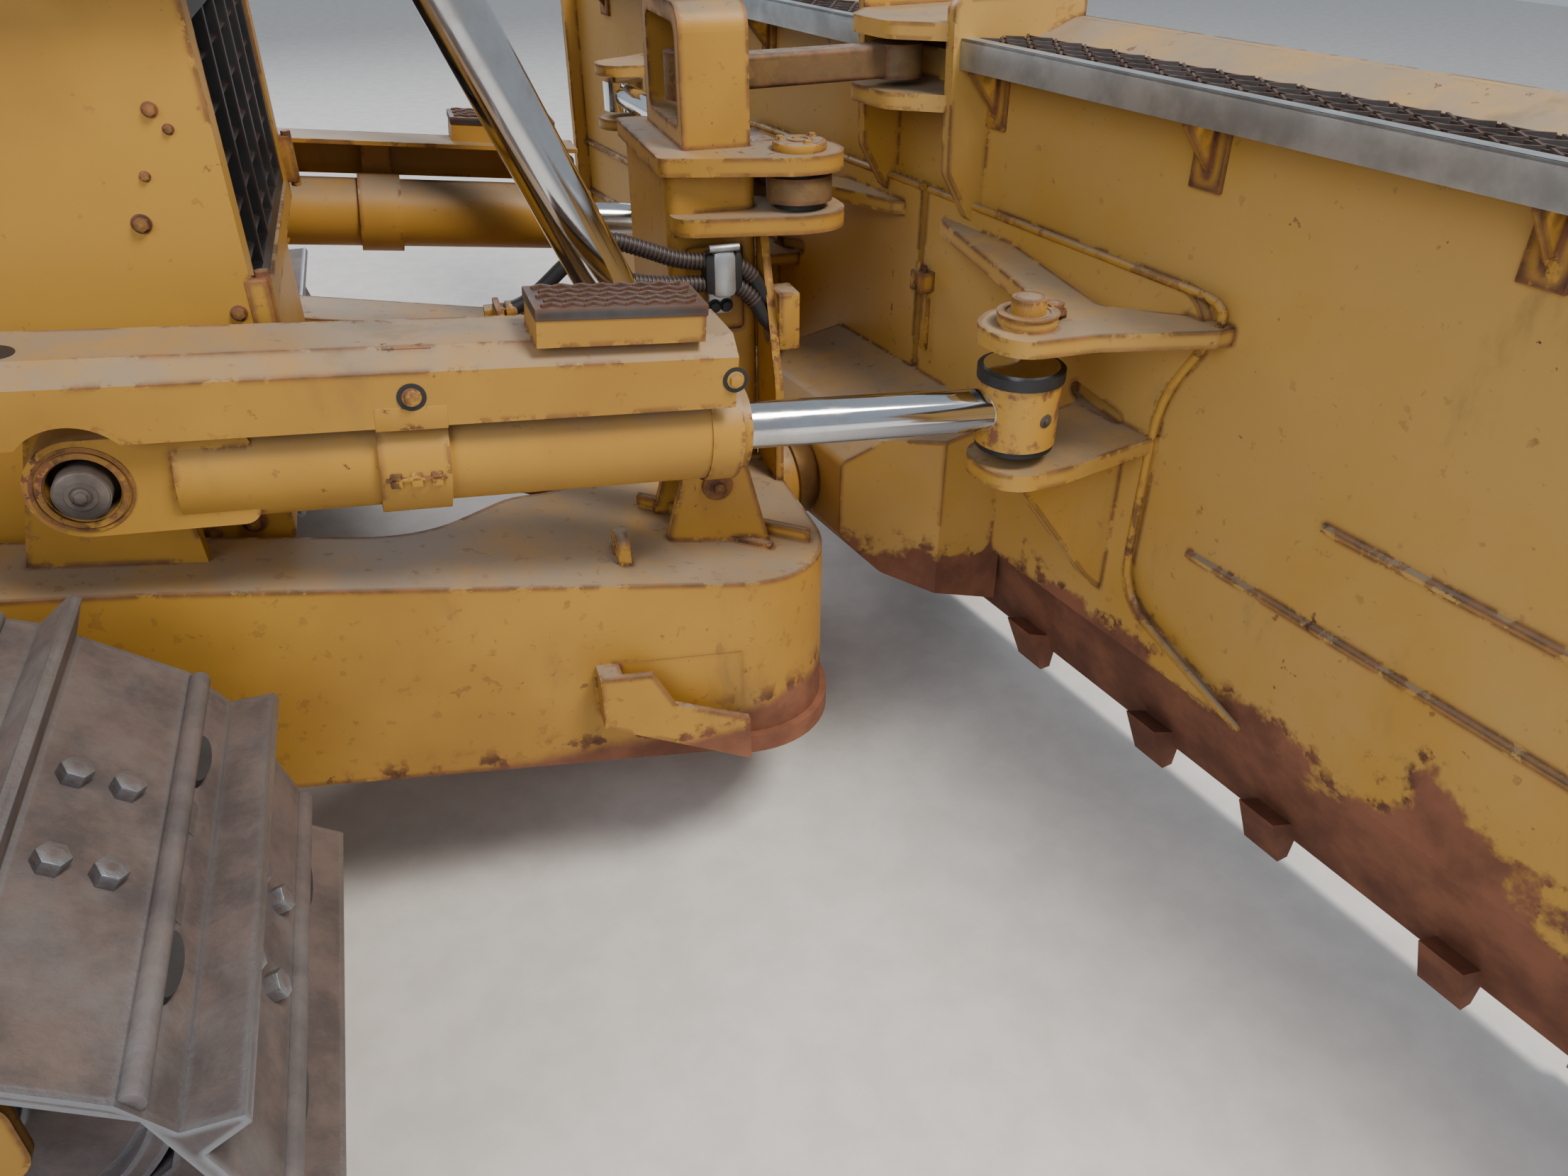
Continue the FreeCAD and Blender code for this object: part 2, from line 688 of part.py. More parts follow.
def hood():
    """Engine hood between the nose and the cab, with its side doors' outline and bevels."""
    rear, front = HOOD_REAR, NOSE_REAR - SEAT_GAP
    low = HULL_TOP + SEAT_GAP
    section = [(-HOOD_HALF, low), (HOOD_HALF, low), (HOOD_HALF, NOSE_TOP - 90, 10),
               (HOOD_HALF - 70, NOSE_TOP, 30), (-HOOD_HALF + 70, NOSE_TOP, 30),
               (-HOOD_HALF, NOSE_TOP - 90, 10)]
    body = prism("yz", section, rear, front).cut(engine_space(10))
    for side in (-1, 1):
        low_y, high_y = sorted((side * HOOD_HALF, side * (HOOD_HALF - 12)))
        for x0, x1 in ((rear + 60, rear + 560), (rear + 590, front - 40)):
            panel = prism("xz", [(x0, low + 90, 20), (x1, low + 90, 20),
                                 (x1, NOSE_TOP - 130, 20), (x0, NOSE_TOP - 130, 20)],
                          low_y, high_y)
            inside = prism("xz", [(x0 + 9, low + 99, 14), (x1 - 9, low + 99, 14),
                                  (x1 - 9, NOSE_TOP - 139, 14), (x0 + 9, NOSE_TOP - 139, 14)],
                           low_y - 1, high_y + 1)
            body = body.cut(panel.cut(inside))
    return body


def exhaust():
    base = NOSE_TOP + SEAT_GAP
    def upright(low, high, radius):
        return rod((STACK_X, STACK_Y, base + low), (STACK_X, STACK_Y, base + high), radius)

    stack = [upright(0, STACK_BELL_HEIGHT, STACK_BELL),
             upright(STACK_BELL_HEIGHT - 20, STACK_HEIGHT, STACK_RADIUS)]
    pipe = join(stack).cut(upright(STACK_HEIGHT - 140, STACK_HEIGHT + 60, STACK_BORE))
    return pipe


# Cab

def cab_shell():
    """Hollow cab with window and door openings, on its floor box."""
    base = FENDER_Z + FENDER_THICK + SEAT_GAP
    outer = prism("xz", [(CAB_REAR, base), (CAB_FRONT, base), (CAB_FRONT, CAB_SILL + 120),
                         (CAB_FRONT - 110, CAB_TOP), (CAB_REAR, CAB_TOP)], -CAB_HALF, CAB_HALF)
    inner = prism("xz", [
        (CAB_REAR + CAB_WALL, CAB_FLOOR + 40), (CAB_FRONT - CAB_WALL, CAB_FLOOR + 40),
        (CAB_FRONT - CAB_WALL, CAB_SILL + 120), (CAB_FRONT - 110 - CAB_WALL, CAB_TOP - CAB_WALL),
        (CAB_REAR + CAB_WALL, CAB_TOP - CAB_WALL)], -CAB_HALF + CAB_WALL, CAB_HALF - CAB_WALL)
    shell = outer.cut(inner)
    cuts = [windscreen_cut(0), rear_window_cut(0)]
    for side in (-1, 1):
        cuts.append(door_outline(side, 0))
        cuts.append(quarter_window_cut(side, 0))
    shell = shell.cut(cuts)
    return join([shell] + [hinge_knuckle(side, z, way)
                           for side in (-1, 1) for z in HINGE_ZS for way in (-1, 1)])


def hinge_knuckle(side, z, way):
    """Part of a door hinge that stays on the cab, over or under the door's own knuckle."""
    near, far = z + way * (HINGE_HALF + SEAT_GAP), z + way * (HINGE_HALF + 30)
    low, high = sorted((near, far))
    axis_y = side * (CAB_HALF + HINGE_OUT)
    barrel = rod((DOOR_REAR + 2, axis_y, low), (DOOR_REAR + 2, axis_y, high), HINGE_RADIUS)
    inner, outer = sorted((side * (CAB_HALF - 5), axis_y))
    return barrel.fuse(box(DOOR_REAR - 50, DOOR_REAR - 1, inner, outer, low, high))


def windscreen_cut(inset):
    y = CAB_HALF - 90 - inset
    return box(CAB_FRONT - 400, CAB_FRONT + 50, -y, y, CAB_SILL + 60 + inset, CAB_TOP - 120 - inset)


def rear_window_cut(inset):
    y = CAB_HALF - 130 - inset
    return box(CAB_REAR - 10, CAB_REAR + 80, -y, y, CAB_SILL + 200 + inset, CAB_TOP - 120 - inset)


def quarter_window_cut(side, inset):
    low, high = sorted((side * (CAB_HALF - CAB_WALL - 10), side * (CAB_HALF + 10)))
    return prism("xz", [(CAB_REAR + 70 + inset, CAB_SILL + 130 + inset, 30),
                        (DOOR_REAR - 60 - inset, CAB_SILL + 130 + inset, 30),
                        (DOOR_REAR - 60 - inset, CAB_TOP - 120 - inset, 30),
                        (CAB_REAR + 70 + inset, CAB_TOP - 120 - inset, 30)], low, high)


def door_outline(side, inset):
    low, high = sorted((side * (CAB_HALF - CAB_WALL - 10), side * (CAB_HALF + 10)))
    if inset:
        low, high = sorted((side * (CAB_HALF - CAB_WALL), side * CAB_HALF))
    return prism("xz", [(DOOR_REAR + inset, CAB_FLOOR + 60 + inset, 30),
                        (DOOR_FRONT - inset, CAB_FLOOR + 60 + inset, 30),
                        (DOOR_FRONT - inset, CAB_TOP - 90 - inset, 40),
                        (DOOR_REAR + inset, CAB_TOP - 90 - inset, 40)], low, high)


def door_window(side, inset):
    low, high = sorted((side * (CAB_HALF - CAB_WALL - 10), side * (CAB_HALF + 10)))
    return prism("xz", [(DOOR_REAR + 80 + inset, CAB_SILL + 60 + inset, 50),
                        (DOOR_FRONT - 80 - inset, CAB_SILL + 60 + inset, 50),
                        (DOOR_FRONT - 80 - inset, CAB_TOP - 170 - inset, 50),
                        (DOOR_REAR + 80 + inset, CAB_TOP - 170 - inset, 50)], low, high)


def cab_door(side):
    leaf = door_outline(side, DOOR_GAP).cut(door_window(side, 0))
    knuckles = []
    for z in HINGE_ZS:
        y = side * (CAB_HALF + HINGE_OUT)
        barrel = across("z", (DOOR_REAR + 2, y, z), HINGE_RADIUS, HINGE_HALF)
        strap = box(DOOR_REAR + 2, DOOR_REAR + 60, *sorted((side * CAB_HALF, side * (CAB_HALF + 10))),
                    z - 40, z + 40)
        knuckles += [barrel, strap]
    handle = box(DOOR_FRONT - 62, DOOR_FRONT - 34,
                 *sorted((side * CAB_HALF, side * (CAB_HALF + 34))), CAB_SILL - 120, CAB_SILL + 20)
    return join([leaf] + knuckles + [handle])


def pane(cutter, low, high, axis):
    """Glass that fills an opening, GLASS thick."""
    return cutter.common(slab(axis, low, high))


def slab(axis, low, high):
    big = 6000.0
    limits = {"x": (low, high, -big, big, -big, big), "y": (-big, big, low, high, -big, big)}
    return box(*limits[axis])


def side_glass(cutter, side):
    middle = side * (CAB_HALF - CAB_WALL / 2)
    return pane(cutter, middle - GLASS / 2, middle + GLASS / 2, "y")


def cab_windows():
    panes = [side_glass(quarter_window_cut(side, SEAT_GAP), side) for side in (-1, 1)]
    rear = CAB_REAR + CAB_WALL / 2
    panes.append(pane(rear_window_cut(SEAT_GAP), rear - GLASS / 2, rear + GLASS / 2, "x"))
    lean = 110.0 / (CAB_TOP - CAB_SILL - 120)
    low, high = CAB_SILL + 60 + SEAT_GAP, CAB_TOP - 120 - SEAT_GAP
    x_break = CAB_FRONT - CAB_WALL / 2
    top_x = x_break - lean * (high - CAB_SILL - 120)
    y = CAB_HALF - 90 - SEAT_GAP
    panes.append(prism("xz", [
        (x_break, low), (x_break, CAB_SILL + 120), (top_x, high), (top_x - GLASS, high),
        (x_break - GLASS, CAB_SILL + 120), (x_break - GLASS, low)], -y, y))
    return panes


def roof():
    base = CAB_TOP + SEAT_GAP
    rear, front = CAB_REAR - ROOF_REAR_EAVE, CAB_FRONT + ROOF_FRONT_EAVE
    return prism("xz", [(rear, base), (front, base),
                        (front, base + 60, 30), (front - 200, base + ROOF_THICK, 60),
                        (rear + 60, base + ROOF_THICK, 60), (rear, base + 70, 30)],
                 -CAB_HALF - ROOF_SIDE_EAVE, CAB_HALF + ROOF_SIDE_EAVE)


def seat():
    base = CAB_FLOOR + 40 + SEAT_GAP
    pedestal = box(SEAT_BACK_X + 120, SEAT_FRONT - 140, -PEDESTAL_HALF, PEDESTAL_HALF,
                   base, base + SEAT_FOOT)
    low, high = base + SEAT_FOOT, base + SEAT_HEIGHT
    cushion = prism("xz", [(SEAT_BACK_X + 60, low, 20), (SEAT_FRONT, low, 40),
                           (SEAT_FRONT, low + CUSHION_THICK, 50),
                           (SEAT_BACK_X + 200, low + CUSHION_THICK - 10),
                           (SEAT_BACK_X + 120, high, 50), (SEAT_BACK_X, high, 50)],
                    -SEAT_HALF, SEAT_HALF)
    return join([pedestal, cushion])


def console():
    base = CAB_FLOOR + 40 + SEAT_GAP
    front = CAB_FRONT - CAB_WALL - SEAT_GAP
    top = base + CONSOLE_HEIGHT
    return prism("xz", [(front - CONSOLE_DEPTH, base), (front, base), (front, top, 40),
                        (front - CONSOLE_DEPTH + 80, top + 50, 40)], -CONSOLE_HALF, CONSOLE_HALF)


def fenders():
    solids = []
    for side in (-1, 1):
        low, high = sorted((side * (HOOD_HALF + 60), side * (TRACK_HALF + SHOE_WIDTH / 2)))
        top = FENDER_Z + FENDER_THICK
        deck = prism("xz", [(FENDER_REAR, FENDER_Z, 10), (FENDER_FRONT, FENDER_Z, 10),
                            (FENDER_FRONT, top, 10), (FENDER_REAR, top, 10)], low, high)
        web_low, web_high = sorted((side * (HULL_HALF - 50), side * (HULL_HALF + 90)))
        web = box(WEB_REAR, WEB_FRONT, web_low, web_high, HULL_TOP + SEAT_GAP, top)
        tank_low, tank_high = sorted((side * (CAB_HALF + 30), side * (TRACK_HALF + SHOE_WIDTH / 2 - 40)))
        foot = top - 10
        chest = prism("xz", [(CHEST_REAR, foot), (CHEST_FRONT, foot),
                             (CHEST_FRONT, foot + CHEST_HEIGHT, 40),
                             (CHEST_REAR, foot + CHEST_HEIGHT, 60)], tank_low, tank_high)
        solids.append(join([deck, web, chest]))
    return solids


def fuel_tank():
    base = FENDER_Z + FENDER_THICK + SEAT_GAP
    front, top = CAB_REAR - SEAT_GAP, base + TANK_HEIGHT
    tank = prism("xz", [(TANK_REAR, base + 60, 80), (front, base),
                        (front, top, 40), (TANK_REAR + TANK_SLOPE, top, 120),
                        (TANK_REAR, top - 200, 90)], -CAB_HALF + 20, CAB_HALF - 20)
    back = box(-330, -100, -HULL_HALF + 62, HULL_HALF - 62, HULL_TOP + SEAT_GAP, base + 20)
    return join([tank, back])


def drawbar():
    """Rear towing jaw with its drop pin."""
    rear = HULL_REAR - SEAT_GAP
    jaw = prism("xz", [(rear, 600), (rear, 780), (rear - 70, 780, 20), (rear - 120, 700),
                       (rear - 300, 700, 20), (rear - 300, 560, 20), (rear - 110, 560)], -75, 75)
    slot = box(rear - 320, rear - 110, -80, 80, 600, 660)
    bore = across("z", (rear - 230, 0, 640), DRAWBAR_PIN, 200)
    return jaw.cut(slot).cut(bore)


def lamps():
    """Work lamps on the roof's front and rear edges and on the nose's shoulders."""
    solids = []
    base = CAB_TOP + SEAT_GAP
    for side in (-1, 1):
        for x, ahead in ((CAB_FRONT + ROOF_FRONT_EAVE + SEAT_GAP, 1),
                         (CAB_REAR - ROOF_REAR_EAVE - SEAT_GAP, -1)):
            y = side * (CAB_HALF - LAMP_INSET)
            low, high = sorted((x, x + ahead * LAMP_DEPTH))
            lamp = box(low, high, y - LAMP_HALF, y + LAMP_HALF, base + 2, base + 2 + LAMP_HEIGHT)
            solids.append(softened(lamp, 12, "x"))
    return solids


def grab_rails():
    """Bent handrails on the rear of the fenders and beside the doors."""
    solids = []
    for side in (-1, 1):
        y = side * (CAB_HALF + 70)
        low, high = FENDER_Z + FENDER_THICK + SEAT_GAP, RAIL_TOP
        points = [Vector(RAIL_REAR, y, low), Vector(RAIL_REAR, y, high),
                  Vector(RAIL_FRONT, y, high - 60), Vector(RAIL_FRONT, y, low)]
        solids.append(bent_bar(points, RAIL_RADIUS, RAIL_BEND))
    return solids


def bent_bar(points, radius, bend):
    """Round bar along straight runs joined by arcs of one bend radius."""
    edges = []
    start = points[0]
    for i in range(1, len(points) - 1):
        corner = points[i]
        u = (points[i - 1] - corner).normalize()
        v = (points[i + 1] - corner).normalize()
        half = 0.5 * math.acos(u.dot(v))
        run = bend / math.tan(half)
        first, last = corner + u * run, corner + v * run
        middle = corner + (u + v).normalize() * (bend / math.sin(half) - bend)
        edges.append(Part.LineSegment(start, first).toShape())
        edges.append(Part.Arc(first, middle, last).toShape())
        start = last
    edges.append(Part.LineSegment(start, points[-1]).toShape())
    path = Part.Wire(edges)
    way = (points[1] - points[0]).normalize()
    profile = Part.Wire([Part.Circle(points[0], way, radius).toShape()])
    return path.makePipeShell([profile], True, False)


def engine_block():
    return engine_space(0)


def engine_space(room):
    """The engine's outline, grown by a room on its sides and top."""
    return box(ENGINE_REAR - room, ENGINE_FRONT + room, -ENGINE_HALF - room, ENGINE_HALF + room,
               HULL_TOP + SEAT_GAP, ENGINE_TOP + room)


# Push frame

ARM_FOOT_X = BEAM_FRONT - 192.0
ARM_FOOT_Z = 263.0
ARM_RISE = 10.3         # degrees, underside of the beam


def frame_top(x):
    return ARM_KNEE_Z - (x - ARM_KNEE_X) * math.tan(math.radians(ARM_FALL))


def frame_bottom(x):
    return ARM_FOOT_Z - (x - ARM_FOOT_X) * math.tan(math.radians(ARM_RISE))


FRAME_REACH = BEAM_FRONT + 155.0
FRAME_SIDE = [
    (FRAME_PIVOT_X - 110, FRAME_PIVOT_Z, 100), (FRAME_PIVOT_X - 100, FRAME_PIVOT_Z + 110, 60),
    (FRAME_PIVOT_X + 180, ARM_KNEE_Z + 140, 200), (ARM_KNEE_X, ARM_KNEE_Z),
    (FRAME_REACH, frame_top(FRAME_REACH)), (FRAME_REACH, frame_bottom(FRAME_REACH)),
    (ARM_FOOT_X, ARM_FOOT_Z), (ARM_KNEE_X + 95, ARM_FOOT_Z + 101), (FRAME_PIVOT_X + 400, 500, 200),
    (FRAME_PIVOT_X - 100, FRAME_PIVOT_Z - 110, 60),
]


def push_frame():
    """U-shaped frame with the tower, the portal and the lugs of all its cylinders."""
    side = prism("xz", FRAME_SIDE, -ARM_OUTER, ARM_OUTER)
    outer = prism("xy", [
        (1780, -ARM_OUTER), (BEAM_FRONT, -ARM_OUTER, BEAM_CORNER),
        (BEAM_FRONT, ARM_OUTER, BEAM_CORNER), (1780, ARM_OUTER)], 0, 1500)
    bay_front = BEAM_FRONT - BEAM_DEPTH
    throat, mouth = ARM_INNER - 170, ARM_INNER - 130
    bay = prism("xy", [
        (1700, -ARM_INNER), (bay_front - 270, -ARM_INNER, 200), (bay_front - 130, -mouth, 120),
        (bay_front, -throat, 120), (bay_front, throat, 120), (bay_front - 130, mouth, 120),
        (bay_front - 270, ARM_INNER, 200), (1700, ARM_INNER)], 0, 1500)
    body = side.common(outer).cut(bay)
    parts = [body]
    tower = prism("xy", [
        (TOWER_REAR, -TOWER_HALF, 20), (TOWER_FRONT, -TOWER_HALF, 20), (TOWER_FRONT, -110, 20),
        (TOWER_FRONT - TOWER_SLANT, TOWER_HALF, 20), (TOWER_REAR, TOWER_HALF, 20)],
        ARM_FOOT_Z + 137, TOWER_TOP - TOWER_PLATE)
    parts.append(tower)
    parts.append(prism("xy", [
        (TOWER_REAR - 12, -TOWER_HALF - 10, 16), (TILT_BASE_X - 20, -TOWER_HALF - 72, 60),
        (TILT_BASE_X + 72, TILT_BASE_Y - 60, 62), (TILT_BASE_X + 72, TILT_BASE_Y + 72, 62),
        (TOWER_FRONT - 6, -96, 20), (TOWER_FRONT - TOWER_SLANT - 8, TOWER_HALF + 8, 20),
        (TOWER_REAR - 12, TOWER_HALF + 8, 16)],
        TOWER_TOP - TOWER_PLATE, TOWER_TOP))
    parts.append(prism("xy", [
        (TOWER_REAR + 4, -TOWER_HALF - 36, 40), (TILT_BASE_X - 10, -TOWER_HALF - 76, 60),
        (TILT_BASE_X + 74, TILT_BASE_Y - 60, 62), (TILT_BASE_X + 74, TILT_BASE_Y + 74, 62),
        (TOWER_FRONT - 20, -80, 30), (TOWER_REAR + 4, -80, 30)],
        TOWER_TOP - 118, TOWER_TOP - 90))
    parts.append(portal())
    parts.append(Part.makeSphere(BALL_RADIUS, Vector(BALL_X, 0, BALL_Z)))
    parts.append(rod((BEAM_FRONT - 60, 0, BALL_Z), (BALL_X, 0, BALL_Z), NECK_RADIUS))
    parts.append(wear_band())
    parts.append(hose_plate())
    for side_sign in (-1, 1):
        parts += frame_lugs(side_sign) + frame_trim(side_sign)
    solid = join(parts).cut(tower_panel())
    bores = []
    for side_sign in (-1, 1):
        bores.append(across("y", (FRAME_PIVOT_X, side_sign * 540, FRAME_PIVOT_Z),
                            FRAME_PIN_RADIUS + PIN_PLAY, 120))
    bores.append(across("z", (KING_X, 0, TOWER_TOP + 110), KING_RADIUS + PIN_PLAY, 130))
    return solid.cut(bores)


def wear_band():
    """Thick strip round the foot of the frame's front corners."""
    rear = BEAM_FRONT - WEAR_LENGTH
    low_rear, low_front = frame_bottom(rear), frame_bottom(FRAME_REACH)
    front, half = BEAM_FRONT + WEAR_PROUD, ARM_OUTER + WEAR_PROUD
    strip = prism("xz", [(rear, low_rear), (FRAME_REACH, low_front),
                         (FRAME_REACH, low_front + WEAR_HEIGHT), (rear, low_rear + WEAR_HEIGHT)], -half, half)
    corner = BEAM_CORNER + WEAR_PROUD
    outer = prism("xy", [(rear - 10, -half), (front, -half, corner), (front, half, corner),
                         (rear - 10, half)], 0, ARM_KNEE_Z)
    inner = box(rear - 20, BEAM_FRONT - 60, -half + 80, half - 80, 0, ARM_KNEE_Z)
    return strip.common(outer).cut(inner)


def hose_plate():
    """Gusset ahead of the tower with the slot that the hoses pass through."""
    near, high = -TOWER_HALF, TOWER_TOP - 125
    plate = prism("yz", [(near + 10, frame_top(TOWER_FRONT) - 28), (near - 97, frame_top(TOWER_FRONT) - 28),
                         (near - 97, high - 245, 20), (near - 14, high, 10), (near + 10, high)],
                  TOWER_FRONT, TOWER_FRONT + GUSSET)
    slot = prism("yz", [(near - 72, high - 173, 13), (near - 36, high - 173, 13),
                        (near - 14, high - 103, 13), (near - 48, high - 103, 13)],
                 TOWER_FRONT - 1, TOWER_FRONT + GUSSET + 1)
    return plate.cut(slot)


def tower_panel():
    """Shallow recess that leaves a raised border on the tower's near side."""
    return prism("xz", [(TOWER_REAR + PANEL_BORDER, TOWER_TOP - 290, 8),
                        (TOWER_FRONT - PANEL_BORDER, TOWER_TOP - 290, 8),
                        (TOWER_FRONT - PANEL_BORDER, TOWER_TOP - 144, 8),
                        (TOWER_REAR + PANEL_BORDER, TOWER_TOP - 144, 8)],
                 -TOWER_HALF - 40, -TOWER_HALF + PANEL_SINK)


def frame_trim(side):
    """Torn towing pocket, upright lug and two bars on the beam's upper face."""
    front = BEAM_FRONT - WEAR_LENGTH
    rear = front - POCKET_LENGTH
    outline = [(rear, 480), (front, 456), (front, frame_bottom(front) + 12), (rear, 392)]
    shell = prism("xz", outline, *sorted((side * (ARM_OUTER + POCKET_PROUD), side * (ARM_OUTER - 30))))
    hollow = prism("xz", [(rear + POCKET_LIP, 500), (front + 10, 476), (front + 10, 306),
                          (rear + POCKET_LIP, 404)],
                   *sorted((side * (ARM_OUTER + POCKET_PROUD - 12), side * (ARM_OUTER + 1))))
    torn = prism("xz", [(rear + 65, 500), (front + 10, 480), (front + 10, 350), (rear + 110, 408)],
                 *sorted((side * (ARM_OUTER + POCKET_PROUD + 10), side * (ARM_OUTER + 20))))
    lug_x = rear + 67
    top = frame_top(lug_x)
    lug_y = side * (ARM_OUTER - 89)
    lug = prism("yz", [(lug_y - 31, top - 10), (lug_y + 31, top - 10), (lug_y + 27, top + 40, 14),
                       (lug_y - 27, top + 40, 14)], lug_x - 9, lug_x + 9)
    pieces = [shell.cut([hollow, torn]), lug.cut(across("x", (lug_x, lug_y, top + 18), 9, 20))]
    # near end (x, y), far end (x, y), half width, height above the beam
    for (x0, y0), (x1, y1), wide, high in (((-283, 362), (-30, 486), 8, 20), ((-189, 460), (-100, 507), 9, 7)):
        x0, x1 = BEAM_FRONT + x0, BEAM_FRONT + x1
        u = unit(x1 - x0, y1 - y0)
        n = (-u[1] * wide, u[0] * wide)
        plan = [(x0 + n[0], side * (y0 + n[1])), (x1 + n[0], side * (y1 + n[1])),
                (x1 - n[0], side * (y1 - n[1])), (x0 - n[0], side * (y0 - n[1]))]
        above = prism("xz", [(x0 - 50, frame_top(x0 - 50) - 20), (x1 + 50, frame_top(x1 + 50) - 20),
                             (x1 + 50, frame_top(x1 + 50) + high), (x0 - 50, frame_top(x0 - 50) + high)],
                      -ARM_OUTER, ARM_OUTER)
        pieces.append(prism("xy", plan, 0, ARM_KNEE_Z).common(above))
    return pieces


def portal():
    low = TOWER_TOP - 10
    outer = prism("yz", [(-PORTAL_HALF, low), (PORTAL_HALF, low), (PORTAL_HALF, PORTAL_TOP, 40),
                         (-PORTAL_HALF, PORTAL_TOP, 40)], PORTAL_REAR, PORTAL_FRONT)
    y = PORTAL_HALF - PORTAL_WALL
    inner = prism("yz", [(-y, TOWER_TOP + 30, 18), (y, TOWER_TOP + 30, 18),
                         (y, PORTAL_TOP - PORTAL_WALL, 22), (-y, PORTAL_TOP - PORTAL_WALL, 22)],
                  PORTAL_REAR - 1, PORTAL_FRONT + 1)
    cap = rod((KING_X, 0, PORTAL_TOP - 2), (KING_X, 0, PORTAL_TOP + 12), 74)
    notch_rear = PORTAL_REAR + 38
    notch = prism("xz", [(notch_rear, low - 1), (PORTAL_FRONT + 1, low - 1),
                         (PORTAL_FRONT + 1, TOWER_TOP + PORTAL_NOTCH),
                         (notch_rear + 29, TOWER_TOP + PORTAL_NOTCH - 20, 20)], -60, PORTAL_HALF + 1)
    return outer.cut([inner, notch]).fuse(cap)


def frame_lugs(side):
    """Head bracket of the angle cylinder and the fork of the lift rod."""
    top = frame_top(ANGLE_HEAD_X)
    low, high = sorted((side * (ANGLE_HEAD_Y - ANGLE_LUG_OUT), side * (ANGLE_HEAD_Y - ANGLE_LUG_OUT - 28)))
    head = prism("xz", [(ANGLE_HEAD_X - 150, top - 60), (ANGLE_HEAD_X + 80, top - 60),
                        (ANGLE_HEAD_X + 66, ANGLE_HEAD_Z + 62, 60),
                        (ANGLE_HEAD_X - 66, ANGLE_HEAD_Z + 62, 60)], low, high)
    lugs = [head]
    floor = frame_top(LIFT_EYE_X)
    for offset in (-1, 1):
        near, far = LIFT_EYE_HALF + 4, LIFT_EYE_HALF + 20
        low, high = sorted((side * (LIFT_Y + offset * near), side * (LIFT_Y + offset * far)))
        lugs.append(prism("xz", [(LIFT_EYE_X - 90, floor - 20), (LIFT_EYE_X + 90, floor - 40),
                                 (LIFT_EYE_X + 46, LIFT_EYE_Z + 42, 38),
                                 (LIFT_EYE_X - 46, LIFT_EYE_Z + 42, 38)], low, high))
    return lugs


# Blade

def blade():
    """Moldboard box with its back plate, ribs and the lugs that carry it."""
    low, high = -BLADE_HALF, BLADE_HALF
    back_foot = Vector(EDGE_X - 24, low, BLADE_BOTTOM)
    front_foot = Vector(EDGE_X, low, BLADE_BOTTOM)
    crown = Vector(CROWN_X, low, BLADE_TOP)
    belly = Vector(BACK_X + 45, low, 650.0)
    corners = [front_foot, back_foot, Vector(BACK_X, low, BACK_LOW),
               Vector(BACK_X, low, BLADE_TOP - 58), Vector(CROWN_X - 30, low, BLADE_TOP), crown]
    edges = [Part.LineSegment(a, b).toShape() for a, b in zip(corners, corners[1:])]
    edges.append(Part.Arc(crown, belly, front_foot).toShape())
    board = Part.Face(Part.Wire(edges)).extrude(Vector(0, high - low, 0))
    parts = [board]
    thick = 20.0
    for side in (-1, 1):
        plate = prism("yz", mirror_points([
            (-10, 949), (-770, 946, 60), (-660, 766, 70), (-655, 394, 90), (-955, 300, 50),
            (-975, 150, 30), (-880, 110), (-10, 110)], side), BACK_X - thick, BACK_X + 5)
        foot = prism("xz", [(BACK_X - thick - 5, BACK_LOW), (BACK_X + 10, BACK_LOW),
                            (EDGE_X, BLADE_BOTTOM + 4), (EDGE_X, 0), (BACK_X - thick - 5, 0)],
                     -BLADE_HALF, BLADE_HALF)
        parts.append(plate.cut(foot))
        parts += angle_lugs(side)
        rib_low, rib_high = sorted((side * RIB_HALF, side * (RIB_HALF - RIB_PLATE)))
        parts.append(prism("xz", [
            (BACK_X + 10, 900), (BACK_X - 30, 930), (STEP_REAR - 6, 1010, 30),
            (STEP_REAR - 16, 1290, 20), (CROWN_X - 4, 1290, 20), (CROWN_X - 4, 1200)],
            rib_low, rib_high))
        end_low, end_high = sorted((side * BLADE_HALF, side * (BLADE_HALF - 25)))
        parts.append(prism("xz", [
            (BACK_X - 40, BACK_LOW - 20, 30), (BACK_X - 40, BLADE_TOP - 40, 60),
            (CROWN_X - 10, BLADE_TOP + 2), (CROWN_X - 40, BLADE_TOP - 200),
            (EDGE_X - 75, 500), (EDGE_X - 22, BLADE_BOTTOM + 2)], end_low, end_high))
        for start, height in ((985, 690), (766, 534)):
            a, b = sorted((side * start, side * (BLADE_HALF - 10)))
            parts.append(prism("xz", [(BACK_X - BEAD, height - 3), (BACK_X - BEAD, height + 3),
                                      (BACK_X + 2, height + BEAD), (BACK_X + 2, height - BEAD)], a, b))
        for y in TOOTH_YS:
            a, b = sorted((side * (y - 36), side * (y + 36)))
            parts.append(prism("xz", [(EDGE_X - 46, TOOTH_FOOT), (EDGE_X - 22, TOOTH_FOOT),
                                      (EDGE_X - 10, BLADE_BOTTOM + 30), (EDGE_X - 90, BLADE_BOTTOM + 62)],
                               a, b))
    parts += link_lugs() + tilt_lugs() + socket()
    slots = []
    for side in (-1, 1):
        slots.append(prism("yz", mirror_points([(-466, 733, 14), (-466, 704, 14), (-594, 684, 14),
                                                (-594, 713, 14)], side), BACK_X - 30, BACK_X - 6))
    return join(parts).cut(slots)


def mirror_points(points, side):
    if side < 0:
        return points
    return [(-p[0],) + tuple(p[1:]) for p in points]


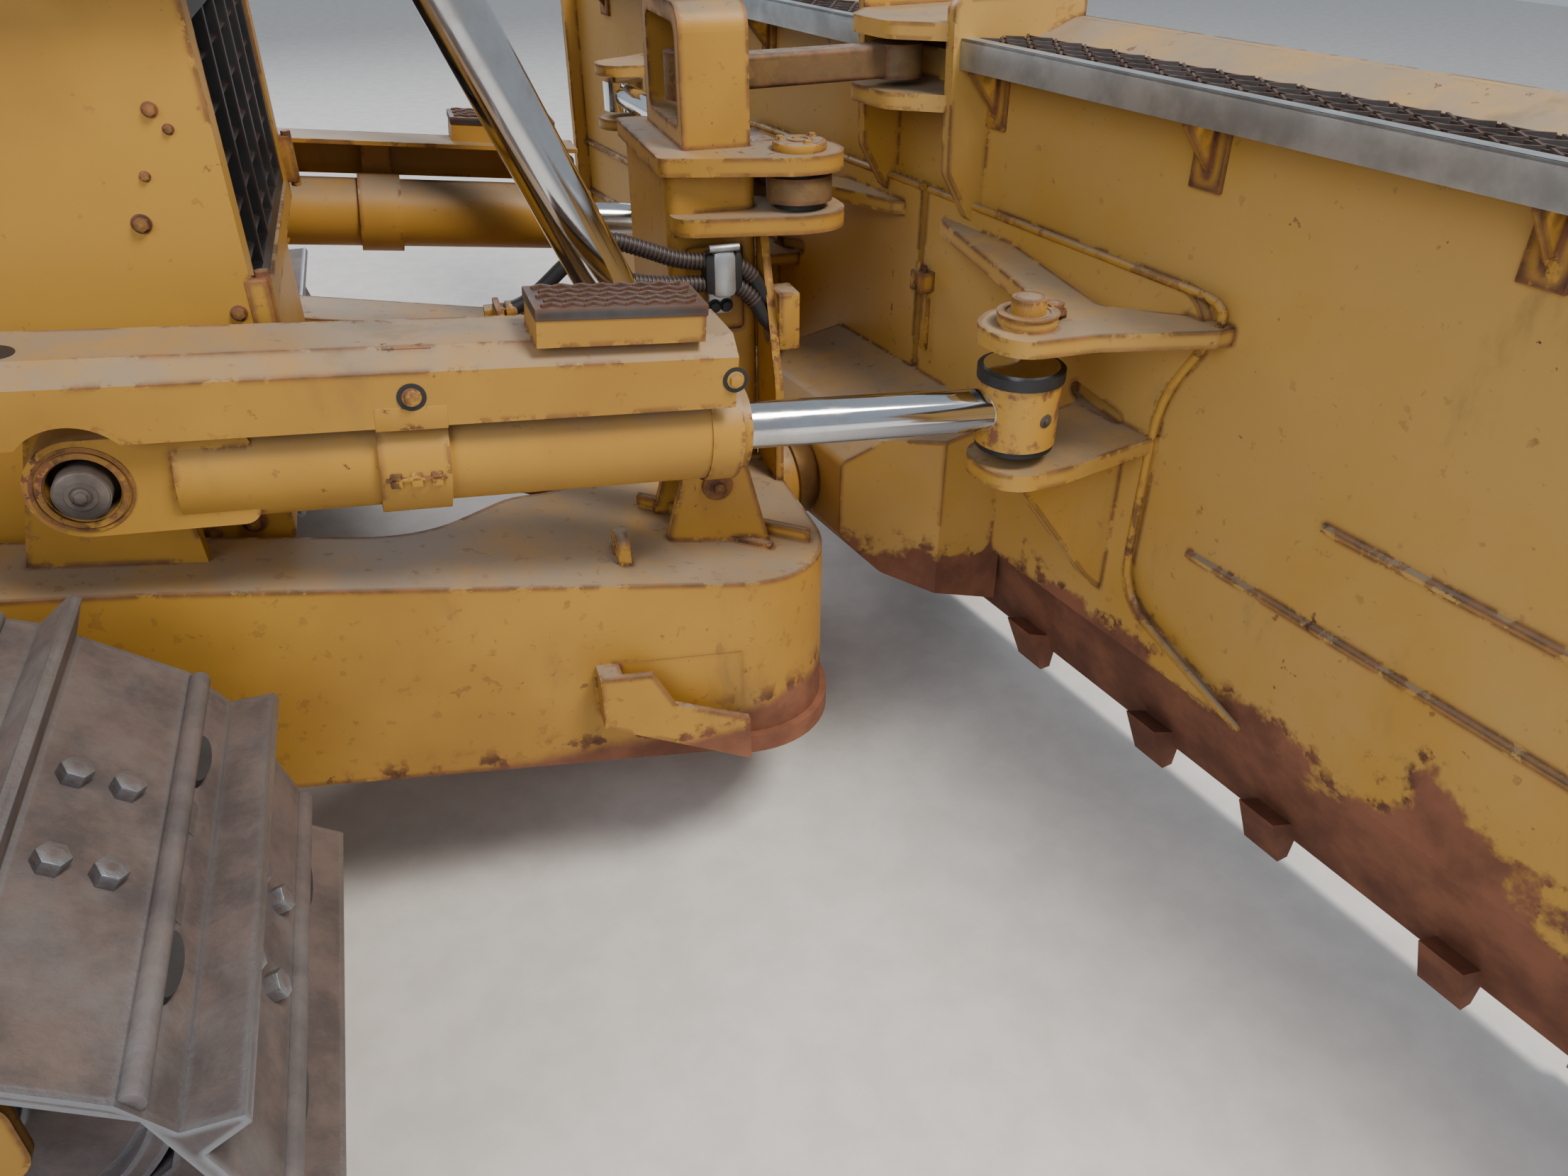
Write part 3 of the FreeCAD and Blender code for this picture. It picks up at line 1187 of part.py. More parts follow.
def angle_lugs(side):
    """Upper star lug and lower shelf that hold an angle cylinder's rod eye."""
    y = ANGLE_EYE_YB
    top_low = ANGLE_EYE_Z + ANGLE_EYE_HALF + ANGLE_SEAL + ANGLE_EYE_ROOM + 5
    star = [(BACK_X + 5, -y + 560), (BACK_X - 40, -y + 520, 12), (ANGLE_EYE_XB + 78, -y + 62, 60),
            (ANGLE_EYE_XB - 4, -y + 84, 70), (ANGLE_EYE_XB - 68, -y + 40, 60),
            (ANGLE_EYE_XB - 68, -y - 60, 60), (ANGLE_EYE_XB + 60, -y - 86, 60),
            (BACK_X - 30, -y - 160, 12), (BACK_X + 5, -y - 160), (BACK_X + 5, -y - 110),
            (ANGLE_EYE_XB + 150, -y + 10, 40), (BACK_X + 5, -y + 420)]
    star = [(p[0], side * -p[1]) + tuple(p[2:]) for p in star]
    shelf = [(BACK_X + 5, -y + 120), (ANGLE_EYE_XB + 40, -y + 76, 50),
             (ANGLE_EYE_XB - 66, -y + 60, 60), (ANGLE_EYE_XB - 66, -y - 70, 60),
             (ANGLE_EYE_XB + 40, -y - 80, 50), (BACK_X + 5, -y - 60)]
    shelf = [(p[0], side * -p[1]) + tuple(p[2:]) for p in shelf]
    shelf_top = ANGLE_EYE_Z - ANGLE_EYE_HALF - ANGLE_EYE_ROOM
    plates = [prism("xy", star, top_low, top_low + 26),
              prism("xy", shelf, shelf_top - 26, shelf_top)]
    centre = (ANGLE_EYE_XB, side * y)
    plates.append(rod((*centre, top_low + 20), (*centre, top_low + 44), 44))
    web_low, web_high = sorted((side * (y + 6), side * (y - 18)))
    plates.append(prism("xz", [(ANGLE_EYE_XB - 20, shelf_top - 10), (BACK_X + 5, shelf_top - 10),
                               (BACK_X + 5, 360), (BACK_X - 60, 420, 60)], web_low, web_high))
    return plates


def link_lugs():
    """Two plates between the ribs that hold the pitch link's front pin."""
    plates = []
    for low in (LINK_Z - LINK_LUG_GAP - 28, LINK_Z + LINK_LUG_GAP):
        plates.append(prism("xy", [
            (CROWN_X - 40, -RIB_HALF + 10), (LINK_PIN_XB + 20, -RIB_HALF + 10, 40),
            (LINK_PIN_XB - 62, -56, 50), (LINK_PIN_XB - 62, 56, 50),
            (LINK_PIN_XB + 20, RIB_HALF - 10, 40), (CROWN_X - 40, RIB_HALF - 10)], low, low + 28))
    return plates


def tilt_lugs():
    plates = []
    for low in (TILT_EYE_Z - 75, TILT_EYE_Z + 50):
        plates.append(prism("xy", [
            (BACK_X + 5, TILT_EYE_YB - 170), (TILT_EYE_XB + 30, TILT_EYE_YB - 76, 40),
            (TILT_EYE_XB - 66, TILT_EYE_YB - 50, 60), (TILT_EYE_XB - 66, TILT_EYE_YB + 50, 60),
            (TILT_EYE_XB + 30, TILT_EYE_YB + 76, 40), (BACK_X + 5, TILT_EYE_YB + 170)],
            low, low + 25))
    return plates


def socket():
    """Lower centre box that holds the ball of the push frame."""
    cheeks = prism("xz", [(BACK_X + 5, 590), (120, 560, 30), (60, 500, 30), (60, 340, 30),
                          (120, 270, 30), (BACK_X + 5, 180)], -300, 300)
    wings = [prism("xy", [(BACK_X - 140, -310), (BACK_X + 60, -310), (BACK_X + 60, 0),
                          (20, 0), (20, -120, 30)], 0, 900)]
    wings.append(mirrored(wings[0]))
    body = cheeks.common(join(wings))
    return [body.cut(Part.makeSphere(BALL_RADIUS + LINER_THICK, Vector(0, 0, BALL_Z)))]


def blade_steps():
    """Galvanised step: front strip, tread and brackets on each half of the blade."""
    solids = []
    for side in (-1, 1):
        inner, outer = STEP_INNER + SEAT_GAP, STEP_OUTER
        low, high = sorted((side * inner, side * outer))
        strip = box(STEP_REAR, STEP_REAR + 6, low, high, STEP_TOP - STEP_DROP, STEP_TOP)
        tread = box(STEP_REAR, BACK_X + 70, low, high, STEP_TOP - 6, STEP_TOP)
        parts = [strip, tread]
        for y in (inner + 20, inner + 520, inner + 1020, outer - 20):
            a, b = sorted((side * (y - 4), side * (y + 4)))
            parts.append(prism("xz", [(STEP_REAR + 3, STEP_TOP - 3), (STEP_REAR + 3, STEP_TOP - 34),
                                      (BACK_X - SEAT_GAP, STEP_TOP - 120),
                                      (BACK_X - SEAT_GAP, STEP_TOP - 3)], a, b))
        solids.append(join(parts))
    return solids


def cutting_edge():
    """Bolted edge along the foot of the blade and the end bits."""
    def strip(low, high, foot, thick, head):
        lean = 0.22
        x = EDGE_X + SEAT_GAP
        return prism("xz", [(x, BLADE_BOTTOM + 10), (x + 4, foot), (x + thick, foot),
                            (x + thick - lean * (head - foot), head),
                            (x - lean * (head - BLADE_BOTTOM) - 12, head)], low, high)
    solids = [strip(-END_BIT_START + 2, END_BIT_START - 2, EDGE_BOTTOM + 20, EDGE_THICK, 250)]
    for side in (-1, 1):
        low, high = sorted((side * END_BIT_START, side * BLADE_HALF))
        solids.append(strip(low, high, EDGE_BOTTOM, EDGE_THICK + 8, 250))
    front = front_of_blade()
    return [solid.cut(front) for solid in solids]


def front_of_blade():
    """The blade's own section, grown by the seat gap, to seat the edge on its curve."""
    low = -BLADE_HALF - 10
    crown = Vector(CROWN_X + SEAT_GAP, low, BLADE_TOP + 1)
    belly = Vector(BACK_X + 45 + SEAT_GAP, low, 650.0)
    foot = Vector(EDGE_X + SEAT_GAP, low, BLADE_BOTTOM)
    corners = [foot, Vector(EDGE_X + SEAT_GAP, low, 0), Vector(0, low, 0),
               Vector(0, low, BLADE_TOP + 1), crown]
    edges = [Part.LineSegment(a, b).toShape() for a, b in zip(corners, corners[1:])]
    edges.append(Part.Arc(crown, belly, foot).toShape())
    return Part.Face(Part.Wire(edges)).extrude(Vector(0, -2 * low, 0))


# Ball, king pin and pitch link

def ball_liner():
    """Half shell between the push frame's ball and the blade's socket."""
    centre = Vector(0, 0, BALL_Z)
    shell = Part.makeSphere(BALL_RADIUS + LINER_THICK - SEAT_GAP, centre)
    shell = shell.cut(Part.makeSphere(BALL_RADIUS + SEAT_GAP, centre))
    return on_blade(shell.common(box(LINER_THICK, 200, -200, 200, BALL_Z - 200, BALL_Z + 200)))


def king_pin():
    shank = rod((KING_X, 0, TOWER_TOP + 31), (KING_X, 0, PORTAL_TOP + 14), KING_RADIUS)
    head = rod((KING_X, 0, PORTAL_TOP + 12.5), (KING_X, 0, PORTAL_TOP + 40), 46)
    return shank.fuse(head)


def pitch_link():
    start = (KING_X, 0, LINK_Z)
    end = blade_point(LINK_PIN_XB, 0, LINK_Z)
    length = math.dist(start, end)
    eye = across("z", (0, 0, 0), 50, 36)
    bar = softened(box(20, length - 20, -28, 28, -27, 27), 8, "x")
    tip = across("z", (length, 0, 0), 46, LINK_TIP_HALF)
    body = join([eye, bar, tip]).cut(across("z", (0, 0, 0), KING_RADIUS + PIN_PLAY, 60))
    return aimed(body, start, end)


# Cylinders

def angle_ends(side):
    head = (ANGLE_HEAD_X, side * ANGLE_HEAD_Y, ANGLE_HEAD_Z)
    eye = blade_point(ANGLE_EYE_XB, side * ANGLE_EYE_YB, ANGLE_EYE_Z)
    return head, eye


def angle_bearing(side):
    """Spherical bearing and pin that hang an angle cylinder on its bracket."""
    head, eye = angle_ends(side)
    inner = rod((0, 0, 0), (0, side * -90, 0), ANGLE_PIN)
    inner = inner.common(Part.makeSphere(ANGLE_LUG_OUT - SEAT_GAP))
    outer = rod((0, 0, 0), (0, side * 68, 0), ANGLE_PIN)
    return aimed(Part.makeSphere(ANGLE_BEARING).fuse([inner, outer]), head, eye)


def angle_barrel(side):
    head, eye = angle_ends(side)
    tube = rod((95, 0, 0), (ANGLE_GLAND - 50, 0, 0), ANGLE_TUBE)
    gland = rod((ANGLE_GLAND - 60, 0, 0), (ANGLE_GLAND - 16, 0, 0), ANGLE_TUBE + 3)
    lip = rod((ANGLE_GLAND - 20, 0, 0), (ANGLE_GLAND, 0, 0), ANGLE_TUBE - 10)
    boss = across("y", (0, 0, 0), 60, ANGLE_CHEEK_HALF)
    cheek = prism("xz", [(0, -60), (180, -60, 20), (180, 60, 20), (0, 60)],
                  -ANGLE_CHEEK_HALF, ANGLE_CHEEK_HALF)
    body = join([tube, gland, lip, boss, cheek])
    pocket = rod((106, 0, 0), (ANGLE_GLAND + 1, 0, 0), ANGLE_ROD + PIN_PLAY)
    body = body.cut([pocket, across("y", (0, 0, 0), ANGLE_PIN + BEARING_SWING, 80),
                     Part.makeSphere(ANGLE_BEARING + PIN_PLAY)])
    return aimed(body, head, eye)


def angle_guard(side):
    """Bent cover over the cylinder with its strap and the step on top."""
    head, eye = angle_ends(side)
    out = 78.0
    wall = 8.0
    section = [(-out, 62), (-out, 130), (-out + 30, 152), (out - 28, 152), (out - 28, 152 - wall),
               (-out + 34, 152 - wall), (-out + wall, 127), (-out + wall, 62)]
    section = [(side * -p[0], p[1]) for p in section]
    cover = prism("yz", section, -170, ANGLE_GLAND - 35)
    window = across("y", (0, side * out, 20), 66, 20)
    cover = cover.cut(window)
    strap = ring("x", (360, 0, 0), ANGLE_TUBE + 10, ANGLE_TUBE + SEAT_GAP, 42)
    post = box(330, 390, *sorted((side * 30, side * (out - 26))), ANGLE_TUBE - 4, 150)
    step = box(510, 720, *sorted((side * -16, side * 76)), 152, 197)
    shape = join([cover, strap, post, step])
    return aimed(shape, head, eye)


def angle_rod(side):
    head, eye = angle_ends(side)
    reach = math.dist(head, eye)
    shaft = rod((440, 0, 0), (reach - 20, 0, 0), ANGLE_ROD)
    bar = aimed(shaft, head, eye)
    ball_eye = across("z", eye, ANGLE_EYE_RADIUS, ANGLE_EYE_HALF)
    seal = rod(eye, (eye[0], eye[1], eye[2] + ANGLE_EYE_HALF + ANGLE_SEAL), ANGLE_EYE_RADIUS - 5)
    return join([bar, ball_eye, seal])


def lift_ends(side):
    return ((LIFT_TOP_X, side * LIFT_Y, LIFT_TOP_Z), (LIFT_EYE_X, side * LIFT_Y, LIFT_EYE_Z))


def lift_barrel(side):
    top, eye = lift_ends(side)
    tube = rod((-LIFT_TAIL, 0, 0), (LIFT_GLAND - 40, 0, 0), LIFT_TUBE)
    gland = rod((LIFT_GLAND - 60, 0, 0), (LIFT_GLAND, 0, 0), LIFT_TUBE + 6)
    collar = box(-50, 50, -LIFT_TUBE - 3, LIFT_TUBE + 3, -LIFT_TUBE - 6, LIFT_TUBE + 6)
    collar = softened(collar, 16, "y")
    stubs = across("y", (0, 0, 0), LIFT_PIN, LIFT_TUBE + 16)
    body = join([tube, gland, collar, stubs])
    pocket = rod((-LIFT_TAIL + 30, 0, 0), (LIFT_GLAND + 1, 0, 0), LIFT_ROD + PIN_PLAY)
    return aimed(body.cut(pocket), top, eye)


def lift_rod(side):
    top, eye = lift_ends(side)
    reach = math.dist(top, eye)
    shaft = rod((-190, 0, 0), (reach - 78, 0, 0), LIFT_ROD)
    neck = rod((reach - 80, 0, 0), (reach - 20, 0, 0), LIFT_EYE_HALF - 2)
    bar = aimed(shaft.fuse(neck), top, eye)
    end = across("y", eye, LIFT_EYE_RADIUS, LIFT_EYE_HALF)
    return join([bar, end])


def tilt_ends():
    base = (TILT_BASE_X, TILT_BASE_Y, TILT_BASE_Z)
    return base, blade_point(TILT_EYE_XB, TILT_EYE_YB, TILT_EYE_Z)


def tilt_bearing():
    base, eye = tilt_ends()
    ball = Part.makeSphere(TILT_BEARING, Vector(*base)).common(across("z", base, TILT_BEARING, 26))
    pin = across("z", base, TILT_PIN, 40)
    return ball.fuse(pin.common(Part.makeSphere(TILT_FORK_HALF - SEAT_GAP, Vector(*base))))


def tilt_barrel():
    base, eye = tilt_ends()
    tube = rod((140, 0, 0), (TILT_GLAND - 40, 0, 0), TILT_TUBE)
    gland = rod((TILT_GLAND - 60, 0, 0), (TILT_GLAND, 0, 0), TILT_TUBE + 5)
    neck = box(10, 150, -24, 24, -16, 16)
    end = across("z", (0, 0, 0), 54, 20)
    body = join([tube, gland, neck, end])
    pocket = rod((170, 0, 0), (TILT_GLAND + 1, 0, 0), TILT_ROD + PIN_PLAY)
    body = body.cut([pocket, across("z", (0, 0, 0), TILT_PIN + BEARING_SWING, 60),
                     Part.makeSphere(TILT_BEARING + PIN_PLAY)])
    return aimed(body, base, eye)


def tilt_rod():
    base, eye = tilt_ends()
    reach = math.dist(base, eye)
    bar = aimed(rod((260, 0, 0), (reach - 20, 0, 0), TILT_ROD), base, eye)
    return join([bar, across("z", eye, 50, 34)])


NODES = {
    "main_frame": [main_frame],
    "engine_block": [engine_block],
    "nose": [nose],
    "grille": [grille],
    "hood": [hood],
    "exhaust_stack": [exhaust],
    "cab_shell": [cab_shell],
    "cab_roof": [roof],
    "cab_windows": [cab_windows],
    "operator_seat": [seat],
    "console": [console],
    "fenders": [fenders],
    "fuel_tank": [fuel_tank],
    "drawbar": [drawbar],
    "work_lamps": [lamps],
    "grab_rails": [grab_rails],
    "cross_members": [cross_members],
    "push_frame": [push_frame],
    "king_pin": [king_pin],
    "pitch_link": [pitch_link],
    "ball_liner": [ball_liner],
    "tilt_bearing": [tilt_bearing],
    "tilt_barrel": [tilt_barrel],
    "tilt_rod": [tilt_rod],
}
ON_BLADE = {"blade": blade, "blade_steps": blade_steps, "cutting_edge": cutting_edge}
PAIRED = {
    "track": track, "idler": idler, "sprocket": sprocket, "track_frame": track_frame,
    "rollers": rollers, "cab_door": cab_door,
    "door_glass": lambda side: side_glass(door_window(side, SEAT_GAP), side),
    "angle_bearing": angle_bearing, "angle_barrel": angle_barrel, "angle_guard": angle_guard,
    "angle_rod": angle_rod, "lift_barrel": lift_barrel, "lift_rod": lift_rod,
}


def compound(made):
    if isinstance(made, list):
        return Part.makeCompound(made)
    return made


def build():
    shapes = {}
    for name, (maker,) in NODES.items():
        shapes[name] = compound(maker())
    for name, maker in ON_BLADE.items():
        made = maker()
        made = made if isinstance(made, list) else [made]
        shapes[name] = compound([on_blade(piece) for piece in made])
    for name, maker in PAIRED.items():
        for word, side in (("left", 1), ("right", -1)):
            shapes[f"{name}_{word}"] = compound(maker(side))
    return shapes


SHAPES = build()
WHOLE = Part.makeCompound(list(SHAPES.values())).BoundBox
ORIGIN = Vector(WHOLE.Center.x, WHOLE.Center.y, 0)

os.makedirs("parts", exist_ok=True)
for node, solid in SHAPES.items():
    solid = solid.copy()
    solid.translate(ORIGIN * -1.0)
    solid.exportStep(f"parts/{node}.step")
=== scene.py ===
# %% [markdown]
# # A bulldozer seen over its blade
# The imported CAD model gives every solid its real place. This lesson dresses it: worn paint, rusty shoes,
# chromed rods, hoses, bolts, a grating step and weld beads, and then the light and the camera.

# %% Load the frame
import json
import math

import bmesh
import bpy
from mathutils import Matrix, Vector


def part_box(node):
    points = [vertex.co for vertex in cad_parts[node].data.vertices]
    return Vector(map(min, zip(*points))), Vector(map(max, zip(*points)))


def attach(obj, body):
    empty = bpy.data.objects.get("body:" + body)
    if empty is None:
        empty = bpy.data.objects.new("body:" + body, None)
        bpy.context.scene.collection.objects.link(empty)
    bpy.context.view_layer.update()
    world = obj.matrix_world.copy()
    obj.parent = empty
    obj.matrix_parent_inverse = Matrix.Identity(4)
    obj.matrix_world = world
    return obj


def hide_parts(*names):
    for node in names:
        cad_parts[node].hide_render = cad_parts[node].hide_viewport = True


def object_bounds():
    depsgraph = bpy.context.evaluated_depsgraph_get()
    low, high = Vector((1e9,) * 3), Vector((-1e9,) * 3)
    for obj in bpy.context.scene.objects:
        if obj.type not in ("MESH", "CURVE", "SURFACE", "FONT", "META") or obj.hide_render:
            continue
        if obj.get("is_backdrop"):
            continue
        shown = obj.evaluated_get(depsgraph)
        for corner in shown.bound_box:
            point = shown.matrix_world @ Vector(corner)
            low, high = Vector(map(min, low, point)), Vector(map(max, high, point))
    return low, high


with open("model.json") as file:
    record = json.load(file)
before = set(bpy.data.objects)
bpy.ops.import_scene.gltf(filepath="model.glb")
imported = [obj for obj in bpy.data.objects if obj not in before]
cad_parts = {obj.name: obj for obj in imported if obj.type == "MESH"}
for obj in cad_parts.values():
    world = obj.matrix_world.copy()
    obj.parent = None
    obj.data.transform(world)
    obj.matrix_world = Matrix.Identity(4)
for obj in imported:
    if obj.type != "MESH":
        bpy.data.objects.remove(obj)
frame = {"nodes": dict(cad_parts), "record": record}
cad_box = [list(corner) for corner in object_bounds()]
nodes = frame["nodes"]

# %% [markdown]
# ## One ruler for the CAD and the scene
# The CAD was drawn from the sprocket's axis, in millimetres, and then moved to the middle of its own box.
# The idler and the two tracks tell where that first zero lies, so sizes can be read off the CAD drawing.

# %% The drawing's zero
IDLER_X = 2.850


def box_of(name):
    """The low and the high corner of a CAD node's box, in metres."""
    return [Vector(corner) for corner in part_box(name)]


idler_low, idler_high = box_of("idler_left")
tracks = box_of("track_left") + box_of("track_right")
ZERO = Vector(((idler_low.x + idler_high.x) / 2 - IDLER_X, sum(corner.y for corner in tracks) / 4, 0.0))
print("zero of the drawing", [round(v, 4) for v in ZERO])


def at(x, y, z):
    """A point of the CAD drawing, in millimetres, as a place in the scene."""
    return ZERO + Vector((x, y, z)) * 0.001


# %% [markdown]
# ## A small kit for materials
# Each finish is a Principled shader fed by a few noise patterns on Object coordinates. A pattern in object
# space sits still on the solid from every side, which is what the export needs.

# %% Material helpers
class Finish:
    """One material: a Principled shader and the nodes that feed it."""

    def __init__(self, name, roughness=0.6, metallic=0.0):
        self.material = bpy.data.materials.new(name)
        self.material.use_nodes = True
        self.tree = self.material.node_tree
        self.shader = self.tree.nodes["Principled BSDF"]
        self.set(Roughness=roughness, Metallic=metallic)
        self.place = self.node("TexCoord").outputs["Object"]

    def feed(self, socket, value):
        """Link a socket to another node's output, or give it a plain value."""
        if isinstance(value, bpy.types.NodeSocket):
            self.tree.links.new(value, socket)
        else:
            socket.default_value = (*value, 1.0) if socket.type == "RGBA" else value

    def node(self, kind, **inputs):
        """A new node and what feeds its inputs, with _ for the space in an input's name."""
        made = self.tree.nodes.new("ShaderNode" + kind)
        for name, value in inputs.items():
            self.feed(made.inputs[name.replace("_", " ")], value)
        return made

    def set(self, **inputs):
        """What feeds the shader itself."""
        for name, value in inputs.items():
            self.feed(self.shader.inputs[name.replace("_", " ")], value)

    def noise(self, scale, detail=6.0, rough=0.6, stretch=(1, 1, 1), offset=0.0):
        shift = (offset, offset * 0.7, offset * 1.3)
        turn = self.node("Mapping", Vector=self.place, Scale=stretch, Location=shift).outputs["Vector"]
        return self.node("TexNoise", Vector=turn, Scale=scale, Detail=detail, Roughness=rough).outputs["Fac"]

    def ramp(self, value, low, high):
        """0 below low and 1 above high, with a soft step between; a low above the high turns it round."""
        step = self.node("MapRange", Value=value, From_Min=low, From_Max=high)
        step.interpolation_type = "SMOOTHSTEP"
        return step.outputs["Result"]

    def maths(self, kind, *values):
        node = self.node("Math")
        node.operation = kind
        for socket, value in zip(node.inputs, values):
            self.feed(socket, value)
        return node.outputs["Value"]

    def times(self, first, second):
        return self.maths("MULTIPLY", first, second)

    def plus(self, first, second):
        return self.maths("ADD", first, second)

    def larger(self, first, second):
        return self.maths("MAXIMUM", first, second)

    def blend(self, share, first, second):
        """The first colour where share is 0 and the second where it is 1."""
        mix = self.node("Mix")
        mix.data_type = "RGBA"
        for name, value in (("Factor", share), ("A", first), ("B", second)):
            self.feed(mix.inputs[name], value)
        return mix.outputs["Result"]

    def spot(self):
        """The X, Y and Z of a place on the piece, in metres."""
        return self.node("SeparateXYZ", Vector=self.place).outputs

    def up(self):
        """How much a face looks at the sky, from its normal."""
        normal = self.node("NewGeometry").outputs["Normal"]
        return self.ramp(self.node("SeparateXYZ", Vector=normal).outputs["Z"], 0.3, 0.9)

    def edges(self, radius):
        """Convex edges, from the angle between the true and the bevelled normal."""
        bevel = self.node("Bevel", Radius=radius)
        bevel.samples = 4
        dot = self.node("VectorMath")
        dot.operation = "DOT_PRODUCT"
        self.feed(dot.inputs[0], bevel.outputs["Normal"])
        self.feed(dot.inputs[1], self.node("NewGeometry").outputs["True Normal"])
        return self.ramp(dot.outputs["Value"], 0.998, 0.955)

    def relief(self, value, strength, distance):
        bump = self.node("Bump", Strength=strength, Distance=distance, Height=value)
        self.set(Normal=bump.outputs["Normal"])


# %% [markdown]
# ## Worn construction yellow
# The paint on the real machine is a tan yellow with brown rust at its edges and in chips. Faces that see the
# sky get a greyer tone, partly dust and partly painted shade and a painted sky reflection. Noises at
# different scales give the fading, the dust and sheen, the stains and the chips.

# %% Yellow paint
YELLOW = (0.44, 0.232, 0.036)
# Grey of the up-facing faces: dust together with painted shade and a painted sky reflection.
YELLOW_DUST_SHADE_AND_SHEEN = (0.22, 0.19, 0.155)
YELLOW_DEEP = (0.35, 0.175, 0.028)
# A lighter copy of the yellow: painted sunlight, used on the blade.
YELLOW_PAINTED_SUNLIT = (0.46, 0.27, 0.075)
RUST = (0.070, 0.029, 0.018)
RUST_LIGHT = (0.20, 0.078, 0.035)
RUST_RED = (0.24, 0.095, 0.05)
RUST_DEEP = (0.13, 0.05, 0.028)
GRIME = (0.10, 0.075, 0.045)
GREASE = ((0.24, 0.14, 0.045), (0.11, 0.07, 0.035))
PAINT_SHEEN = 0.35
PAINT_ROUGH, RUST_MATTER = 0.47, 0.35
# How much of that dust, painted shade and painted sky reflection up-facing faces get, in patches and evenly.
DUST_SHADE_SHEEN_PATCHY, DUST_SHADE_SHEEN_EVEN = 0.55, 0.26
STAIN_SHARE = 0.45
RUN_DOWN = (1, 1, 0.35)
WORN_EDGE = 0.014
HALF_AND_HALF = (0.35, 0.65)


def painted(name, chips=0.66, low_rust=0.0, ragged=0.3, wear=0.49, tone=(YELLOW, YELLOW_DEEP)):
    """Worn yellow. Chips and worn edges are rarer with a higher number. Below low_rust the paint has gone,
    along an edge that ragged makes wavier."""
    f = Finish(name)
    fade = f.ramp(f.noise(2.2, 4.0), 0.35, 0.68)
    base = f.blend(fade, *tone)
    # Up-facing faces blend to a grey tone that is partly dust and partly painted shade and a painted sky
    # reflection.
    patches = f.ramp(f.noise(7.0, 8.0, 0.7, offset=4.0), 0.25, 0.62)
    base = f.blend(f.times(f.up(), f.plus(f.times(patches, DUST_SHADE_SHEEN_PATCHY), DUST_SHADE_SHEEN_EVEN)), base, YELLOW_DUST_SHADE_AND_SHEEN)
    stain = f.ramp(f.noise(6.0, 8.0, 0.65, RUN_DOWN, 3.0), 0.58, 0.74)
    base = f.blend(f.times(stain, STAIN_SHARE), base, GRIME)
    speck = f.ramp(f.noise(46.0, 5.0, 0.6, offset=9.0), chips, chips + 0.02)
    patch = f.ramp(f.noise(3.1, 6.0, 0.7, offset=5.0), 0.52, 0.7)
    speck = f.times(speck, f.plus(patch, 0.25))
    worn = f.times(f.edges(WORN_EDGE), f.ramp(f.noise(11.0, 7.0, 0.72, offset=1.7), wear, wear + 0.05))
    rust = f.larger(speck, worn)
    brown = f.blend(f.ramp(f.noise(30.0, 6.0), *HALF_AND_HALF), RUST, RUST_LIGHT)
    if low_rust:
        waves = f.times(f.noise(3.4, 6.0, 0.62), -ragged)
        edge = f.plus(f.spot()["Z"], f.plus(waves, ragged * 0.5))
        bare = f.ramp(edge, low_rust + 0.012, low_rust - 0.02)
        sweep = f.blend(f.ramp(f.noise(7.0, 6.0, 0.6, offset=8.0), *HALF_AND_HALF), RUST_DEEP, RUST_RED)
        rim = f.times(f.ramp(edge, low_rust + 0.05, low_rust), f.ramp(f.noise(26.0, 6.0), 0.5, 0.6))
        rust = f.larger(rust, f.larger(bare, rim))
        brown = f.blend(bare, brown, sweep)
    f.set(Specular_IOR_Level=PAINT_SHEEN, Base_Color=f.blend(rust, base, brown),
          Roughness=f.plus(f.times(rust, RUST_MATTER), PAINT_ROUGH))
    f.relief(f.plus(f.times(rust, -0.6), f.times(f.noise(160.0, 3.0), 0.12)), 0.5, 0.0015)
    return f.material


PAINT = painted("worn_yellow")
# The blade's tone runs between the plain yellow and its lighter copy, which is painted sunlight on the blade.
PAINT_BLADE = painted("worn_yellow_blade_painted_sunlit", 0.65, 0.34, 0.55, wear=0.44, tone=(YELLOW_PAINTED_SUNLIT, YELLOW))
PAINT_FRAME = painted("worn_yellow_frame", 0.62, 0.335, 0.10, wear=0.42)
RUSTY_PART = painted("rusty_yellow", 0.5, wear=0.38)
WELD = painted("weld_yellow", 0.58, wear=0.52)
GREASY = painted("greasy_yellow", 0.47, wear=0.36, tone=GREASE)

# %% [markdown]
# ## Steels
# Shoes and the cutting edge are brown rust with bare steel where the ground polishes them. Rods are chrome,
# pins are greasy steel and the step is galvanised.

# %% Steels
BARE = (0.36, 0.39, 0.44)
SCALE_DARK, SCALE_LIGHT = (0.07, 0.056, 0.055), (0.135, 0.10, 0.088)
DRY_EARTH = (0.165, 0.152, 0.15)


def rusty(name, polish=0.5, rough=0.75):
    """Brown scale with dry earth on it, and bare steel at the edges by the share polish."""
    f = Finish(name, rough)
    tone = f.blend(f.ramp(f.noise(9.0, 8.0, 0.7), *HALF_AND_HALF), SCALE_DARK, SCALE_LIGHT)
    patches = f.ramp(f.noise(4.0, 8.0, 0.7, offset=2.0), 0.45, 0.7)
    tone = f.blend(f.times(patches, 0.65), tone, DRY_EARTH)
    shine = f.times(f.edges(WORN_EDGE), polish)
    f.set(Base_Color=f.blend(shine, tone, BARE), Metallic=shine,
          Roughness=f.maths("SUBTRACT", rough, f.times(shine, 0.4)))
    f.relief(f.noise(60.0, 6.0, 0.7), 0.55, 0.003)
    return f.material


